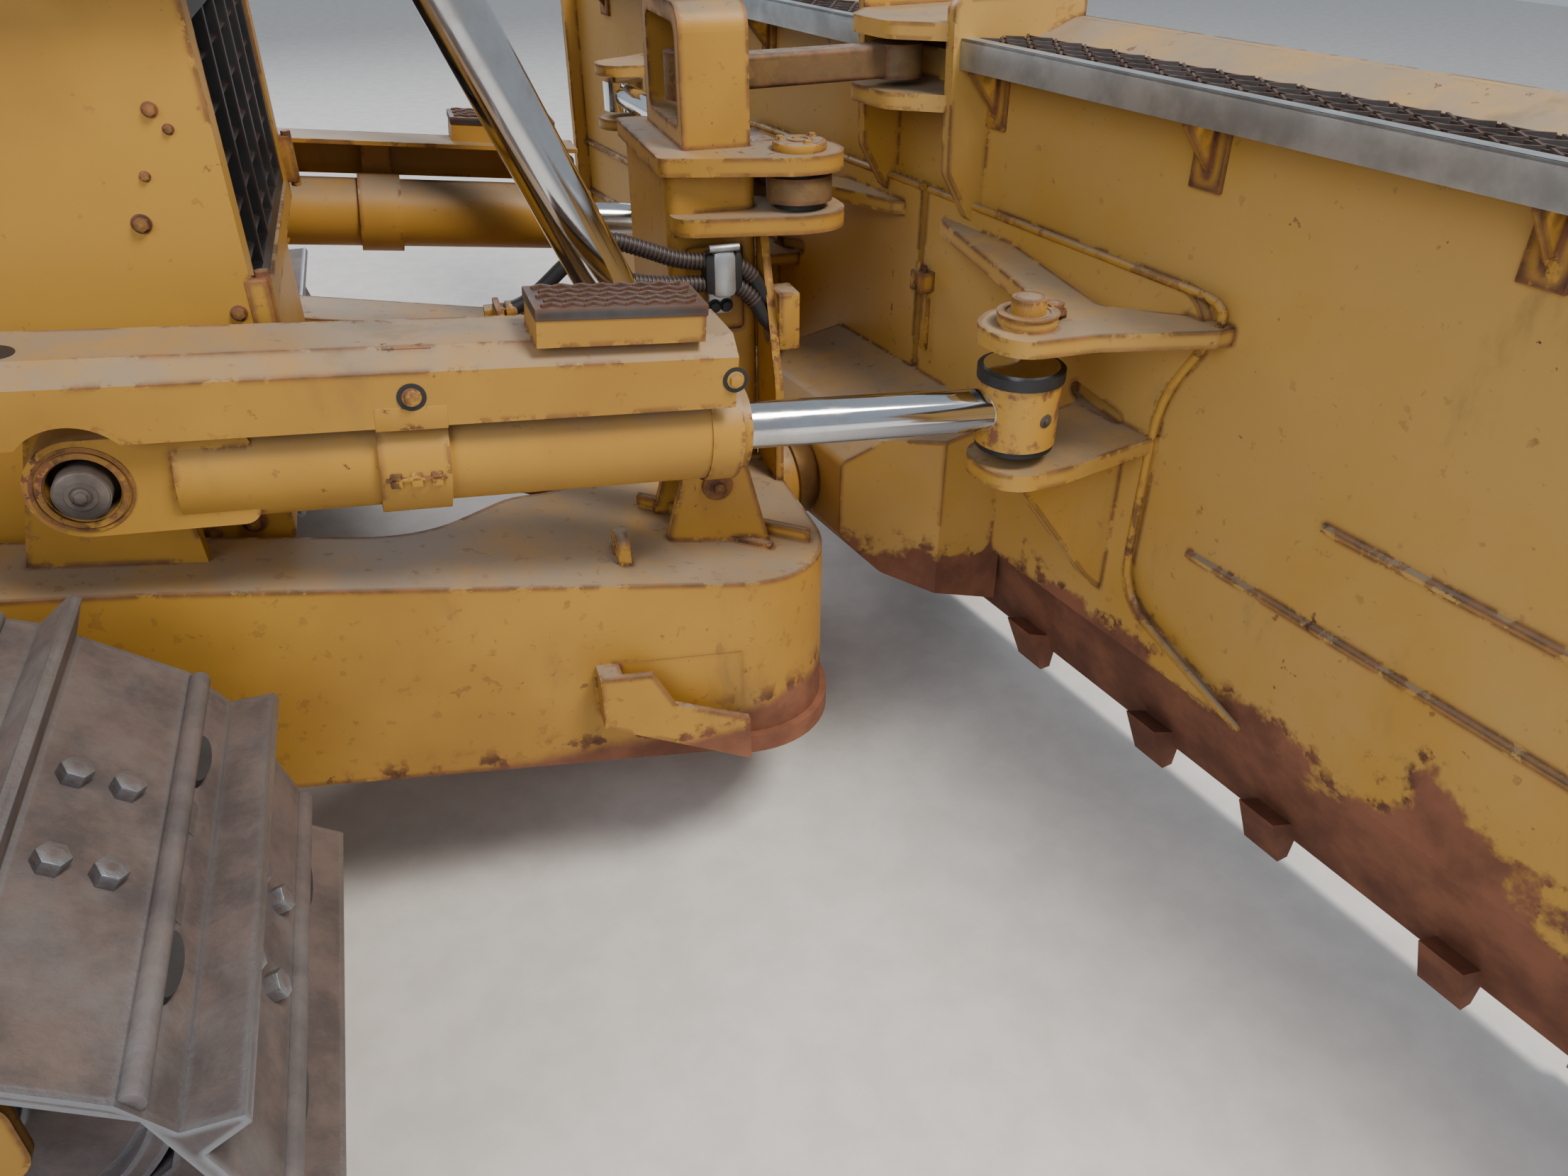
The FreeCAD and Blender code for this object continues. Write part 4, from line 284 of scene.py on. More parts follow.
def plain(name, colour, roughness, metallic=0.0, grain=120.0, depth=0.0006, spread=0.25, wear=0.0):
    """A finish of one colour with a mottled tone, a grain and, where asked, worn edges."""
    f = Finish(name, roughness, metallic)
    dark = tuple(c * (1 - spread) for c in colour)
    light = tuple(min(1.0, c * (1 + spread)) for c in colour)
    tone = f.blend(f.ramp(f.noise(12.0, 6.0), *HALF_AND_HALF), dark, light)
    if wear:
        tone = f.blend(f.times(f.edges(0.006), wear), tone, RUST_LIGHT)
    f.set(Base_Color=tone)
    f.relief(f.noise(grain, 4.0), 0.35, depth)
    return f.material


SHOE_STEEL = rusty("track_steel", 0.9)
ROLL_STEEL = rusty("shoe_edge_steel", 0.15)
EDGE_STEEL = rusty("edge_steel", 0.5)
CHROME = plain("rod_chrome", (0.78, 0.8, 0.83), 0.06, 1.0, 400.0, 0.00003, 0.04)
PIN_STEEL = plain("pin_steel", (0.16, 0.13, 0.11), 0.5, 0.6, 90.0, 0.001, 0.35)
GALVANISED = plain("galvanised", (0.45, 0.47, 0.48), 0.42, 0.85, 70.0, 0.0006, 0.18)
BLACK_PAINT = plain("black_paint", (0.016, 0.017, 0.019), 0.45, 0.0, 140.0, 0.0005, 0.3, 0.2)
RUBBER = plain("black_rubber", (0.015, 0.015, 0.016), 0.55, 0.0, 180.0, 0.0006, 0.3)
TRIM = plain("dark_trim", (0.03, 0.03, 0.032), 0.6, 0.0, 220.0, 0.0008, 0.2)
SLEEVE = plain("hose_sleeve", (0.022, 0.021, 0.021), 0.5, 0.0, 150.0, 0.0006, 0.35, 0.25)
TREAD_BLACK = plain("tread_black", (0.045, 0.043, 0.042), 0.5, 0.2, 90.0, 0.0008, 0.35, 0.5)
CAP_GREEN = plain("painted_cap", (0.12, 0.17, 0.12), 0.5, 0.0, 90.0, 0.0008, 0.25, 0.5)
GRATING = plain("dark_grating", (0.07, 0.068, 0.066), 0.55, 0.5, 80.0, 0.001, 0.35, 0.4)
SEAT = plain("seat_cover", (0.028, 0.027, 0.028), 0.7, 0.0, 260.0, 0.001, 0.3)
STACK = plain("stack_steel", (0.06, 0.045, 0.04), 0.7, 0.4, 100.0, 0.001, 0.4, 0.4)
BRONZE = plain("bearing_bronze", (0.25, 0.15, 0.06), 0.4, 0.8, 120.0, 0.0005, 0.2)
LAMP = plain("lamp_glass", (0.72, 0.74, 0.72), 0.12, 0.0, 60.0, 0.0008, 0.06)


WINDOW_DUST = (0.3, 0.28, 0.24)
GLASS_ALPHA = 0.38


def tinted_glass(name, colour):
    """Tinted cab glass with a film of dust on it. Alpha lets the cab show through without speckle."""
    f = Finish(name)
    patches = f.ramp(f.noise(3.0, 8.0, 0.65), 0.45, 0.75)
    f.set(Base_Color=f.blend(f.times(patches, 0.5), colour, WINDOW_DUST), Alpha=GLASS_ALPHA,
          Roughness=f.plus(f.times(patches, 0.18), 0.04))
    return f.material


GLASS = tinted_glass("cab_glass", (0.045, 0.065, 0.062))

# %% [markdown]
# ## Dress the CAD nodes
# Each solid keeps its shape and gets the finish of its record slot, or a worn one of its own.

# %% Finishes by slot
BY_SLOT = {
    "yellow_paint": PAINT, "black_paint": BLACK_PAINT, "track_steel": SHOE_STEEL, "rod_chrome": CHROME,
    "edge_steel": EDGE_STEEL, "galvanised": GALVANISED, "pin_steel": PIN_STEEL, "bronze": BRONZE,
    "glass": GLASS, "lamp": LAMP, "trim": TRIM, "seat_cover": SEAT, "stack_steel": STACK,
}
OWN_PAINT = {"blade": PAINT_BLADE, "push_frame": PAINT_FRAME, "tilt_barrel": GREASY, "pitch_link": GREASY}
slot_of = {row["node"]: row["material_slot"] for row in frame["record"]["subparts"]}
for name, node in nodes.items():
    node.material_slots[0].material = OWN_PAINT.get(name) or BY_SLOT[slot_of[name]]
print("dressed", len(nodes))

# %% [markdown]
# ## Tools for small pieces
# Bolts, pins, rings and straps all start from a cone, a cube or a spun section in a bmesh, drawn in the
# millimetres of the CAD drawing. One matrix then sets the finished mesh in its place, so its object stays
# at the origin, as the CAD nodes do.

# %% Places
DRAWING = Matrix.Translation(ZERO) @ Matrix.Scale(0.001, 4)
BALL_X = 4110.0
BLADE_TURN = math.radians(10.7)
ON_BLADE = DRAWING @ Matrix.Translation((BALL_X, 0, 0)) @ Matrix.Rotation(BLADE_TURN, 4, "Z")
SIDES = (("left", 1), ("right", -1))
UP = Vector((0, 0, 1))


def along(start, end):
    """The place whose X axis runs from start to end and whose Y axis stays level."""
    run = (Vector(end) - Vector(start)).normalized()
    level = UP.cross(run).normalized()
    axes = Matrix((run, level, run.cross(level))).transposed().to_4x4()
    return DRAWING @ Matrix.Translation(start) @ axes


def on_blade(xb, yb, z):
    """A point of the blade's own frame, in the drawing."""
    x = xb * math.cos(BLADE_TURN) - yb * math.sin(BLADE_TURN)
    y = xb * math.sin(BLADE_TURN) + yb * math.cos(BLADE_TURN)
    return BALL_X + x, y, z


# %% Shapes
def soften(shape, edges, rim):
    bmesh.ops.bevel(shape, geom=edges, offset=rim, segments=2, profile=0.5, affect="EDGES", material=-1)


def drum(shape, start, end, radius, rim=0.0, segments=28):
    """A cylinder from start to end, with its two rims rounded."""
    start, end = Vector(start), Vector(end)
    turn = (end - start).to_track_quat("Z", "Y").to_matrix().to_4x4()
    made = bmesh.ops.create_cone(
        shape, cap_ends=True, segments=segments, radius1=radius, radius2=radius,
        depth=(end - start).length, matrix=Matrix.Translation((start + end) / 2) @ turn)
    if rim:
        caps = {face for vert in made["verts"] for face in vert.link_faces if len(face.verts) > 4}
        soften(shape, list({edge for face in caps for edge in face.edges}), rim)


def post(shape, x, y, low, high, radius, rim=0.0, segments=28):
    """An upright drum."""
    drum(shape, (x, y, low), (x, y, high), radius, rim, segments)


def block(shape, low, high, rim=1.5, place=Matrix()):
    """A box between two corners with softened edges."""
    low, high = Vector(low), Vector(high)
    size = Matrix.Diagonal((*(high - low), 1.0))
    made = bmesh.ops.create_cube(shape, size=1.0, matrix=place @ Matrix.Translation((low + high) / 2) @ size)
    if rim:
        soften(shape, list({edge for vert in made["verts"] for edge in vert.link_edges}), rim)


def slab(shape, x_run, y, half, z_run, rim=1.5):
    """A box told by its run in X, its middle and half width in Y, and its run in Z."""
    block(shape, (x_run[0], y - half, z_run[0]), (x_run[1], y + half, z_run[1]), rim)


def collar(shape, centre, way, inner, outer, depth, segments=40):
    """A ring, spun from its own four-cornered section."""
    centre, way = Vector(centre), Vector(way).normalized()
    out = way.orthogonal().normalized()
    corners = [centre + out * inner, centre + out * outer,
               centre + out * outer + way * depth, centre + out * inner + way * depth]
    verts = [shape.verts.new(corner) for corner in corners]
    edges = [shape.edges.new((verts[i], verts[(i + 1) % 4])) for i in range(4)]
    bmesh.ops.spin(shape, geom=verts + edges, cent=centre, axis=way, angle=2 * math.pi,
                   steps=segments, use_merge=True, use_duplicate=False)


def bolt(shape, foot, way, size=12.0):
    """A hexagon head on its washer, standing on foot."""
    foot, way = Vector(foot), Vector(way).normalized()
    drum(shape, foot - way * 2, foot + way * size * 0.22, size * 1.3, size * 0.06, 20)
    drum(shape, foot, foot + way * size * 0.95, size, size * 0.1, 6)


def show(name, data):
    """A new object in the scene."""
    thing = bpy.data.objects.new(name, data)
    bpy.context.scene.collection.objects.link(thing)
    return thing


def piece(name, shape, finish, slot, body="chassis", place=DRAWING, angle=35.0):
    """Set a drawn shape in its place, shade it, give it a finish and let it ride a body."""
    bmesh.ops.transform(shape, matrix=place, verts=shape.verts)
    bmesh.ops.recalc_face_normals(shape, faces=shape.faces)
    mesh = bpy.data.meshes.new(name)
    shape.to_mesh(mesh)
    shape.free()
    mesh.shade_smooth()
    mesh.set_sharp_from_angle(angle=math.radians(angle))
    mesh.materials.append(finish)
    thing = show(name, mesh)
    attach(thing, body)
    print(name, "faces", len(mesh.polygons))
    return thing


# %% [markdown]
# ## Head pins of the angle cylinders
# Each cylinder hangs on a pin behind its round boss. From outside one sees the pin's greasy end with a small
# bolt in its middle, and a rusty lock ring round it.

# %% Head pins
HEAD_X, HEAD_Y, HEAD_Z = 3077.0, 612.0, 886.0
EYE_XB, EYE_YB, EYE_Z = 96.0, 602.5, 780.0
BOSS_FACE = 54.0
PIN_END, PIN_RADIUS = 70.0, 29.0
LOCK_RINGS = ((40, 47, 5), (49, 53, 2.5))


def cylinder_place(side):
    """The place of an angle cylinder, whose X axis runs from its head pin to the eye of its rod."""
    return along((HEAD_X, side * HEAD_Y, HEAD_Z), on_blade(EYE_XB, side * EYE_YB, EYE_Z))


for word, side in SIDES:
    out = Vector((0, side, 0))
    end = out * PIN_END
    pin = bmesh.new()
    drum(pin, end - out * 14, end, PIN_RADIUS, 3, 40)
    collar(pin, end, out, 12, 17, 1.5)
    bolt(pin, end, out, 7)
    piece(f"head_pin_{word}", pin, PIN_STEEL, "pin_steel", f"angle_{word}_bearing", cylinder_place(side))
    lock = bmesh.new()
    for inner, outer, depth in LOCK_RINGS:
        collar(lock, out * (BOSS_FACE - 1), out, inner, outer, depth)
    piece(f"head_ring_{word}", lock, RUSTY_PART, "yellow_paint", f"angle_{word}_barrel", cylinder_place(side))

# %% [markdown]
# ## Covers, straps and treads
# A folded cover lies over each cylinder. A strap with a dovetail lock ties it to the tube, two bolts hold
# it, and a small tread of raised diamonds lets a person step on it.

# %% Cover straps, bolt rings and painted shade of the holes
COVER_SIDE, COVER_TOP = 78.0, 149.0
STRAP_X, STRAP_HALF = 360.0, 42.0
LOCK_TEETH = (-24, 0, 24)
COVER_BOLTS_X, COVER_BOLTS_Z = (STRAP_X + 2, 762.0), 100.0
DRAIN_HOLES = (-88.0, -62.0)
for word, side in SIDES:
    out = Vector((0, side, 0))
    strap, dark = bmesh.new(), bmesh.new()
    slab(strap, (STRAP_X - STRAP_HALF, STRAP_X + STRAP_HALF), side * (COVER_SIDE - 2), 3, (58, 88), 2)
    for shift in LOCK_TEETH:
        slab(strap, (STRAP_X + shift - 7, STRAP_X + shift + 7), side * (COVER_SIDE - 1), 4, (-17, 3), 2)
    slab(strap, (STRAP_X - 36, STRAP_X + 36), side * (COVER_SIDE - 1), 4, (-8, -3), 1)
    for x in COVER_BOLTS_X:
        foot = (x, side * COVER_SIDE, COVER_BOLTS_Z)
        bolt(strap, foot, out, 9)
        collar(dark, foot, out, 12, 17, 1.2)
    # The drain holes are not cut: black discs stand where they are, painted shade in place of open holes.
    for x in DRAIN_HOLES:
        post(dark, x, side * 20, COVER_TOP, COVER_TOP + 4, 24, 0.6, 24)
    barrel = f"angle_{word}_barrel", cylinder_place(side)
    piece(f"cover_strap_{word}", strap, PAINT, "yellow_paint", *barrel)
    piece(f"cover_rings_and_hole_shade_{word}", dark, RUBBER, "trim", *barrel)

# %% Treads on the covers
TREAD_LOW, TREAD_HIGH = 510.0, 720.0
TREAD_TOP = 197.0
TREAD_ROWS, TREAD_COLUMNS = 5, 15
TREAD_EDGE = 10.0
for word, side in SIDES:
    tread = bmesh.new()
    low, high = sorted((side * -16, side * 76))
    block(tread, (TREAD_LOW - 2, low - 2, TREAD_TOP - 12), (TREAD_HIGH + 2, high + 2, TREAD_TOP + 3), 2)
    pitch_x = (TREAD_HIGH - TREAD_LOW - 2 * TREAD_EDGE) / TREAD_COLUMNS
    pitch_y = (high - low - 2 * TREAD_EDGE) / (TREAD_ROWS - 1)
    for row in range(TREAD_ROWS):
        for column in range(TREAD_COLUMNS):
            x = TREAD_LOW + TREAD_EDGE + pitch_x * (column + 0.5 * (row % 2))
            y = low + TREAD_EDGE + pitch_y * row
            place = Matrix.Translation((x + 4, y, TREAD_TOP + 4))
            lean = Matrix.Rotation(-0.6 if column % 2 else 0.6, 4, "Z")
            block(tread, (-8, -2.2, -3), (8, 2.2, 3), 0.8, place @ lean)
    piece(f"cover_tread_{word}", tread, TREAD_BLACK, "trim", f"angle_{word}_barrel", cylinder_place(side))

# %% [markdown]
# ## Pins of the rod eyes
# The star shaped lug on the blade carries a thick pin with a flat head and one bolt that keeps it from
# turning. The left pin is sunk into its lug, because the tilt cylinder swings over it. Between lug and eye
# lie black dust rings.

# %% Rod eyes
STAR_TOP = 911.0
PIN_RISE = {"left": 0.3, "right": 1.0}
PIN_HEAD, PIN_FLANGE, KEEPER_PLATE = 42.0, 17.0, 9.0
RING_ABOVE, RING_BELOW = 50.0, -59.0
EYE_WALL = 58.0
print("height of the pins' heads, as a share", PIN_RISE)
for word, side in SIDES:
    rise = PIN_RISE[word]
    top = bmesh.new()
    head = Vector((EYE_XB, side * EYE_YB, STAR_TOP))
    collar(top, head + UP * (PIN_FLANGE * rise), UP, 33, 46, 3 * rise)
    drum(top, head - UP * 4, head + UP * (PIN_HEAD * rise), 26, 3, 32)
    plate = head + Vector((34, side * -4, 0))
    block(top, plate - Vector((30, 12, 0)), plate + Vector((34, 12, KEEPER_PLATE * rise)), 1)
    bolt(top, plate + Vector((18, 0, KEEPER_PLATE * rise)), UP, 15 * rise)
    piece(f"star_pin_{word}", top, RUSTY_PART, "pin_steel", "blade", ON_BLADE)
    rings, grease = bmesh.new(), bmesh.new()
    eye = Vector(on_blade(EYE_XB, side * EYE_YB, EYE_Z))
    collar(rings, eye + UP * RING_ABOVE, UP, 30, 66, 17)
    collar(rings, eye + UP * RING_BELOW, UP, 30, 60, 9)
    piece(f"dust_rings_{word}", rings, RUBBER, "trim", f"angle_{word}_rod")
    outward = Vector((-0.26 * side, side * 0.97, 0))
    drum(grease, eye + outward * EYE_WALL, eye + outward * (EYE_WALL + 4.6), 11, 0.8, 20)
    drum(grease, eye + outward * (EYE_WALL + 2), eye + outward * (EYE_WALL + 8), 4, 1, 12)
    piece(f"grease_hole_{word}", grease, PIN_STEEL, "pin_steel", f"angle_{word}_rod")

# %% [markdown]
# ## Hoses to the tilt cylinder
# Two oil hoses leave fittings on a small bracket, rise behind the lift rod and run, held by a clamp on the
# tower, through the slot of the gusset. Over them lies a ribbed sleeve. A hose is one smooth NURBS line with
# a round bevel, and the ribs are short drums set along that same line.

# %% Hose helpers
HOSE_RADIUS, SLEEVE_RADIUS = 0.0125, 0.014
RIB_PITCH, RIB_HALF = 0.007, 0.0021


def hose_curve(name, route):
    """A round hose along control points of the drawing, as one smooth line."""
    data = bpy.data.curves.new(name, "CURVE")
    data.dimensions = "3D"
    data.bevel_depth = HOSE_RADIUS
    data.bevel_resolution = 4
    data.resolution_u = 8
    data.use_fill_caps = True
    line = data.splines.new("NURBS")
    line.points.add(len(route) - 1)
    for spot, point in zip(line.points, route):
        spot.co = (*at(*point), 1.0)
    line.order_u = 3
    line.use_endpoint_u = True
    return show(name, data)


def centre_line(hose):
    """Points along a curve's own line, read with no bevel."""
    bare = hose.data.copy()
    bare.bevel_depth = 0.0
    probe = bpy.data.objects.new("probe", bare)
    mesh = bpy.data.meshes.new_from_object(probe)
    points = [vert.co.copy() for vert in mesh.vertices]
    bpy.data.objects.remove(probe)
    bpy.data.meshes.remove(mesh)
    bpy.data.curves.remove(bare)
    return points


def ribs_along(points, start, end):
    """Places, with their direction, at the ribs' pitch between two lengths along a line."""
    places, travelled, wanted = [], 0.0, start
    for first, second in zip(points, points[1:]):
        run = (second - first).length
        while wanted <= travelled + run and wanted <= end:
            places.append((first.lerp(second, (wanted - travelled) / run), (second - first).normalized()))
            wanted += RIB_PITCH
        travelled += run
    return places, travelled


def sleeve(name, hose, start, end):
    """A ribbed sleeve over a part of a hose."""
    shape = bmesh.new()
    places, length = ribs_along(centre_line(hose), start, end)
    for place, way in places:
        drum(shape, place - way * RIB_HALF, place + way * RIB_HALF, SLEEVE_RADIUS, 0.00084, 20)
    print(hose.name, "line", round(length, 3), "ribs", len(places))
    return piece(name, shape, SLEEVE, "trim", "push_frame", Matrix())


# %% Hoses and their sleeves
UPPER_ROUTE = [(3606, -150, 868), (3634, -151, 872), (3672, -160, 903), (3716, -182, 950), (3768, -197, 984),
               (3830, -201, 962), (3890, -203, 936), (3956, -203, 931), (4004, -202, 912), (4036, -199, 850),
               (4056, -199, 846), (4074, -199, 846)]
LOWER_ROUTE = [(3606, -185, 850), (3636, -186, 852), (3690, -192, 884), (3756, -198, 924), (3830, -201, 905),
               (3890, -203, 898), (3956, -203, 895), (4000, -206, 880), (4034, -211, 816), (4056, -212, 812),
               (4074, -212, 812)]
UPPER_LENGTH, LOWER_LENGTH = 0.545, 0.52
SLEEVE_START, SLEEVE_SHORT = 0.21, 0.08
for word, route, length in (("upper", UPPER_ROUTE, UPPER_LENGTH), ("lower", LOWER_ROUTE, LOWER_LENGTH)):
    hose = hose_curve(f"{word}_hose", route)
    hose.data.materials.append(RUBBER)
    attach(hose, "push_frame")
    ribs = sleeve(f"{word}_sleeve", hose, SLEEVE_START, length - SLEEVE_SHORT)

# %% Bracket, fittings and clamp of the hoses
BRACKET_X, BRACKET_FRONT = 3590.0, 3712.0
CLAMP_X, CLAMP_Y = 3957.0, -203.0
fittings = bmesh.new()
block(fittings, (BRACKET_FRONT - 12, -168, 596), (BRACKET_FRONT, -134, 884), 2)
block(fittings, (BRACKET_X + 6, -196, 840), (BRACKET_FRONT, -134, 846), 1.5)
block(fittings, (BRACKET_X, -200, 836), (BRACKET_X + 10, -132, 886), 2)
for x, y, z in (UPPER_ROUTE[0], LOWER_ROUTE[0]):
    drum(fittings, (x - 32, y, z), (x + 6, y, z), 13, 1.5, 6)
    drum(fittings, (x + 2, y, z), (x + 20, y, z), 15, 1.5, 20)
piece("hose_bracket", fittings, PAINT, "yellow_paint", "push_frame")
manifold = bmesh.new()
block(manifold, (4044.4, -236, 778), (4082, -176, 876), 4)
piece("hose_block", manifold, PAINT, "yellow_paint", "push_frame")
clamp = bmesh.new()
slab(clamp, (CLAMP_X - 21, CLAMP_X + 21), CLAMP_Y, 24, (874, 954), 13)
drum(clamp, (CLAMP_X - 25, CLAMP_Y - 19, 957), (CLAMP_X + 25, CLAMP_Y - 19, 957), 6, 1, 16)
block(clamp, (CLAMP_X - 7, -180, 880), (CLAMP_X + 9, -158, 946), 2)
block(clamp, (CLAMP_X - 19, -184, 836), (CLAMP_X + 21, -159, 876), 3)
piece("hose_clamp", clamp, GALVANISED, "galvanised", "push_frame")
grommets = bmesh.new()
slab(grommets, (CLAMP_X - 33, CLAMP_X + 33), CLAMP_Y, 19, (879, 949), 12)
for x in (CLAMP_X - 9, CLAMP_X + 11):
    bolt(grommets, (x, -184, 850), (0, -1, 0), 9)
piece("hose_grommets", grommets, RUBBER, "trim", "push_frame")

# %% [markdown]
# ## Tower, beam and king pin
# Capped pins stand on the tower's lugs, and a weld bead runs where plates meet. A bead could be a curve, but
# short rods with a ball at each joint make one plain mesh that lies well in a corner.

# %% Weld beads
def bead(name, lines, radius, body, place=DRAWING):
    """Weld beads as one mesh of short rounded rods along open lines of points."""
    shape = bmesh.new()
    for line in lines:
        for start, end in zip(line, line[1:]):
            drum(shape, start, end, radius, 0, 10)
            bmesh.ops.create_icosphere(shape, subdivisions=1, radius=radius, matrix=Matrix.Translation(end))
    return piece(name, shape, WELD, "yellow_paint", body, place, 60)


def bend(corner, before, after, radius, steps=4):
    """Points of the curve that rounds a corner between two neighbours."""
    start = corner + (before - corner).normalized() * radius
    end = corner + (after - corner).normalized() * radius
    return [start.lerp(corner, t).lerp(corner.lerp(end, t), t) for t in [i / steps for i in range(steps + 1)]]


TOWER_REAR, TOWER_FRONT, TOWER_HALF = 3880.0, 4030.0, 165.0
BEAM_Z, COLLAR_Z = 574.0, 972.0
tower_foot = [(TOWER_REAR, TOWER_HALF, BEAM_Z), (TOWER_REAR, -TOWER_HALF, BEAM_Z),
              (TOWER_FRONT, -TOWER_HALF, BEAM_Z - 26)]
collar_line = [(TOWER_REAR + 6, -TOWER_HALF - 2, COLLAR_Z), (TOWER_FRONT - 10, -TOWER_HALF - 2, COLLAR_Z)]
bead("tower_welds", [tower_foot, collar_line], 6, "push_frame")

# %% Pin of the tilt cylinder
TILT_X, TILT_Y = 4100.0, -172.0
TILT_TOP, TILT_FOOT = 1104.0, 966.0
TILT_RINGS = (1052.0, 1002.0)
tilt_cap = bmesh.new()
post(tilt_cap, TILT_X, TILT_Y, TILT_TOP - 16, TILT_TOP, 44, 4, 40)
collar(tilt_cap, (TILT_X, TILT_Y, TILT_TOP - 1), UP, 14, 20, 3)
for turn in (0.6, 2.7, 4.8):
    bolt(tilt_cap, (TILT_X + 33 * math.cos(turn), TILT_Y + 33 * math.sin(turn), TILT_TOP), UP, 6)
post(tilt_cap, TILT_X, TILT_Y, TILT_FOOT, TILT_FOOT + 7, 30, 1.5, 32)
piece("tilt_pin_cap", tilt_cap, PAINT, "yellow_paint", "push_frame")
tilt_rings = bmesh.new()
for z in TILT_RINGS:
    collar(tilt_rings, (TILT_X, TILT_Y, z), UP, 26, 42, 9)
piece("tilt_dust_rings", tilt_rings, RUBBER, "trim", "tilt_bearing")

# %% King pin
KING_X, KING_TOP, KING_PLATE = 3974.0, 1340.0, 1311.0
king = bmesh.new()
post(king, KING_X, 0, KING_TOP - 1, KING_TOP + 6, 30, 3, 32)
bolt(king, (KING_X, 0, KING_TOP + 5), UP, 12)
piece("king_pin_cap", king, CAP_GREEN, "pin_steel", "king_pin")
retainer = bmesh.new()
slab(retainer, (KING_X - 58, KING_X + 58), -57, 9, (KING_PLATE, KING_PLATE + 8), 2)
for shift in (-44, 44):
    bolt(retainer, (KING_X + shift, -57, KING_PLATE + 7), UP, 9)
piece("king_pin_retainer", retainer, RUSTY_PART, "yellow_paint", "push_frame")

# %% Ends of the lift pins and of the hull's pins
LIFT_X, LIFT_Y, LIFT_Z = 3864.0, 430.0, 676.0
LIFT_LUG = 54.0
HULL_FACE = 429.0
PLUG, HULL_PIN = (3150, 690), (3205, 700)
for word, side in SIDES:
    keeper = bmesh.new()
    for face in (-1, 1):
        foot = Vector((LIFT_X, side * LIFT_Y + face * LIFT_LUG, LIFT_Z))
        out = Vector((0, face, 0))
        drum(keeper, foot - out * 3, foot + out * 8, 24, 2, 28)
        bolt(keeper, foot + out * 8, out, 9)
    piece(f"lift_pin_ends_{word}", keeper, RUSTY_PART, "pin_steel", "push_frame")
    ends = bmesh.new()
    for (x, z), radius in ((PLUG, 12), (HULL_PIN, 17)):
        drum(ends, (x, side * HULL_FACE, z), (x, side * (HULL_FACE + 8), z), radius, 2, 24)
    bolt(ends, (HULL_PIN[0], side * (HULL_FACE + 8), HULL_PIN[1]), (0, side, 0), 10)
    piece(f"hull_pins_{word}", ends, RUSTY_PART, "pin_steel")

# %% [markdown]
# ## The blade's step, welds and bolts
# A grating step of galvanised steel runs along the blade's back on four brackets a side. The real one is a
# net of short bars that a person can stand on, so it stays open: long bars with zigzag plates between them.
# It replaces the plain shelf of the CAD.

# %% Grating step
STEP_IN, STEP_OUT = 150.0, 1700.0
STEP_TOP, STEP_FRONT, LIP_BACK = 1230.0, 276.0, 304.0
LIP_FOOT, BAR_FOOT = 1182.0, 1196.0
BARS = (308.0, 334.0, 360.0, 386.0, 416.0)
ZIG, ZIG_TURN = 36.0, 0.85
lips, grate = bmesh.new(), bmesh.new()
for word, side in SIDES:
    near, far = sorted((side * STEP_IN, side * STEP_OUT))
    block(lips, (STEP_FRONT, near, LIP_FOOT), (STEP_FRONT + 5, far, STEP_TOP), 1)
    block(lips, (STEP_FRONT, near, STEP_TOP - 5), (LIP_BACK, far, STEP_TOP), 1)
    for bar in BARS:
        block(grate, (bar - 2, near, BAR_FOOT), (bar + 2, far, STEP_TOP - 3), 0)
    for lane, (first, second) in enumerate(zip(BARS, BARS[1:])):
        reach = (second - first) * 0.62
        for number in range(int((STEP_OUT - STEP_IN) / ZIG)):
            lean = ZIG_TURN if (number + lane) % 2 else -ZIG_TURN
            middle = Vector(((first + second) / 2, near + ZIG * (number + 0.5), 0))
            turn = Matrix.Translation(middle) @ Matrix.Rotation(lean, 4, "Z")
            block(grate, (-reach, -2, BAR_FOOT + 3), (reach, 2, STEP_TOP), 0, turn)
step_lip = piece("step_lip", lips, GALVANISED, "galvanised", "blade", ON_BLADE)
step_grating = piece("step_grating", grate, GRATING, "galvanised", "blade", ON_BLADE)
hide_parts("blade_steps")
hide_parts("blade_steps")

# %% Step brackets
BACK_FACE = 350.0
BRACKET_HALF, BRACKET_TOP, BRACKET_NOSE, BRACKET_LOW = 5.0, 1194.0, 1176.0, 1098.0
BRACKETS_Y = (170, 660, 1160, 1670)
brackets = bmesh.new()
for word, side in SIDES:
    for y in BRACKETS_Y:
        gusset = bmesh.ops.create_cube(brackets, size=1.0)["verts"]
        for vert in gusset:
            at_nose, low = vert.co.x < 0, vert.co.z < 0
            foot = BRACKET_NOSE if at_nose else BRACKET_LOW
            vert.co = (STEP_FRONT + 8 if at_nose else BACK_FACE + 2, side * y + vert.co.y * 2 * BRACKET_HALF,
                       foot if low else BRACKET_TOP)
        soften(brackets, list({edge for vert in gusset for edge in vert.link_edges}), 1.5)
        slab(brackets, (BACK_FACE - 7, BACK_FACE + 1), side * y, 30, (BRACKET_LOW - 14, BRACKET_TOP - 4), 2)
        bolt(brackets, (STEP_FRONT + 20, side * y + 14, BRACKET_TOP - 6), -UP, 7)
piece("step_brackets", brackets, RUSTY_PART, "yellow_paint", "blade", ON_BLADE)

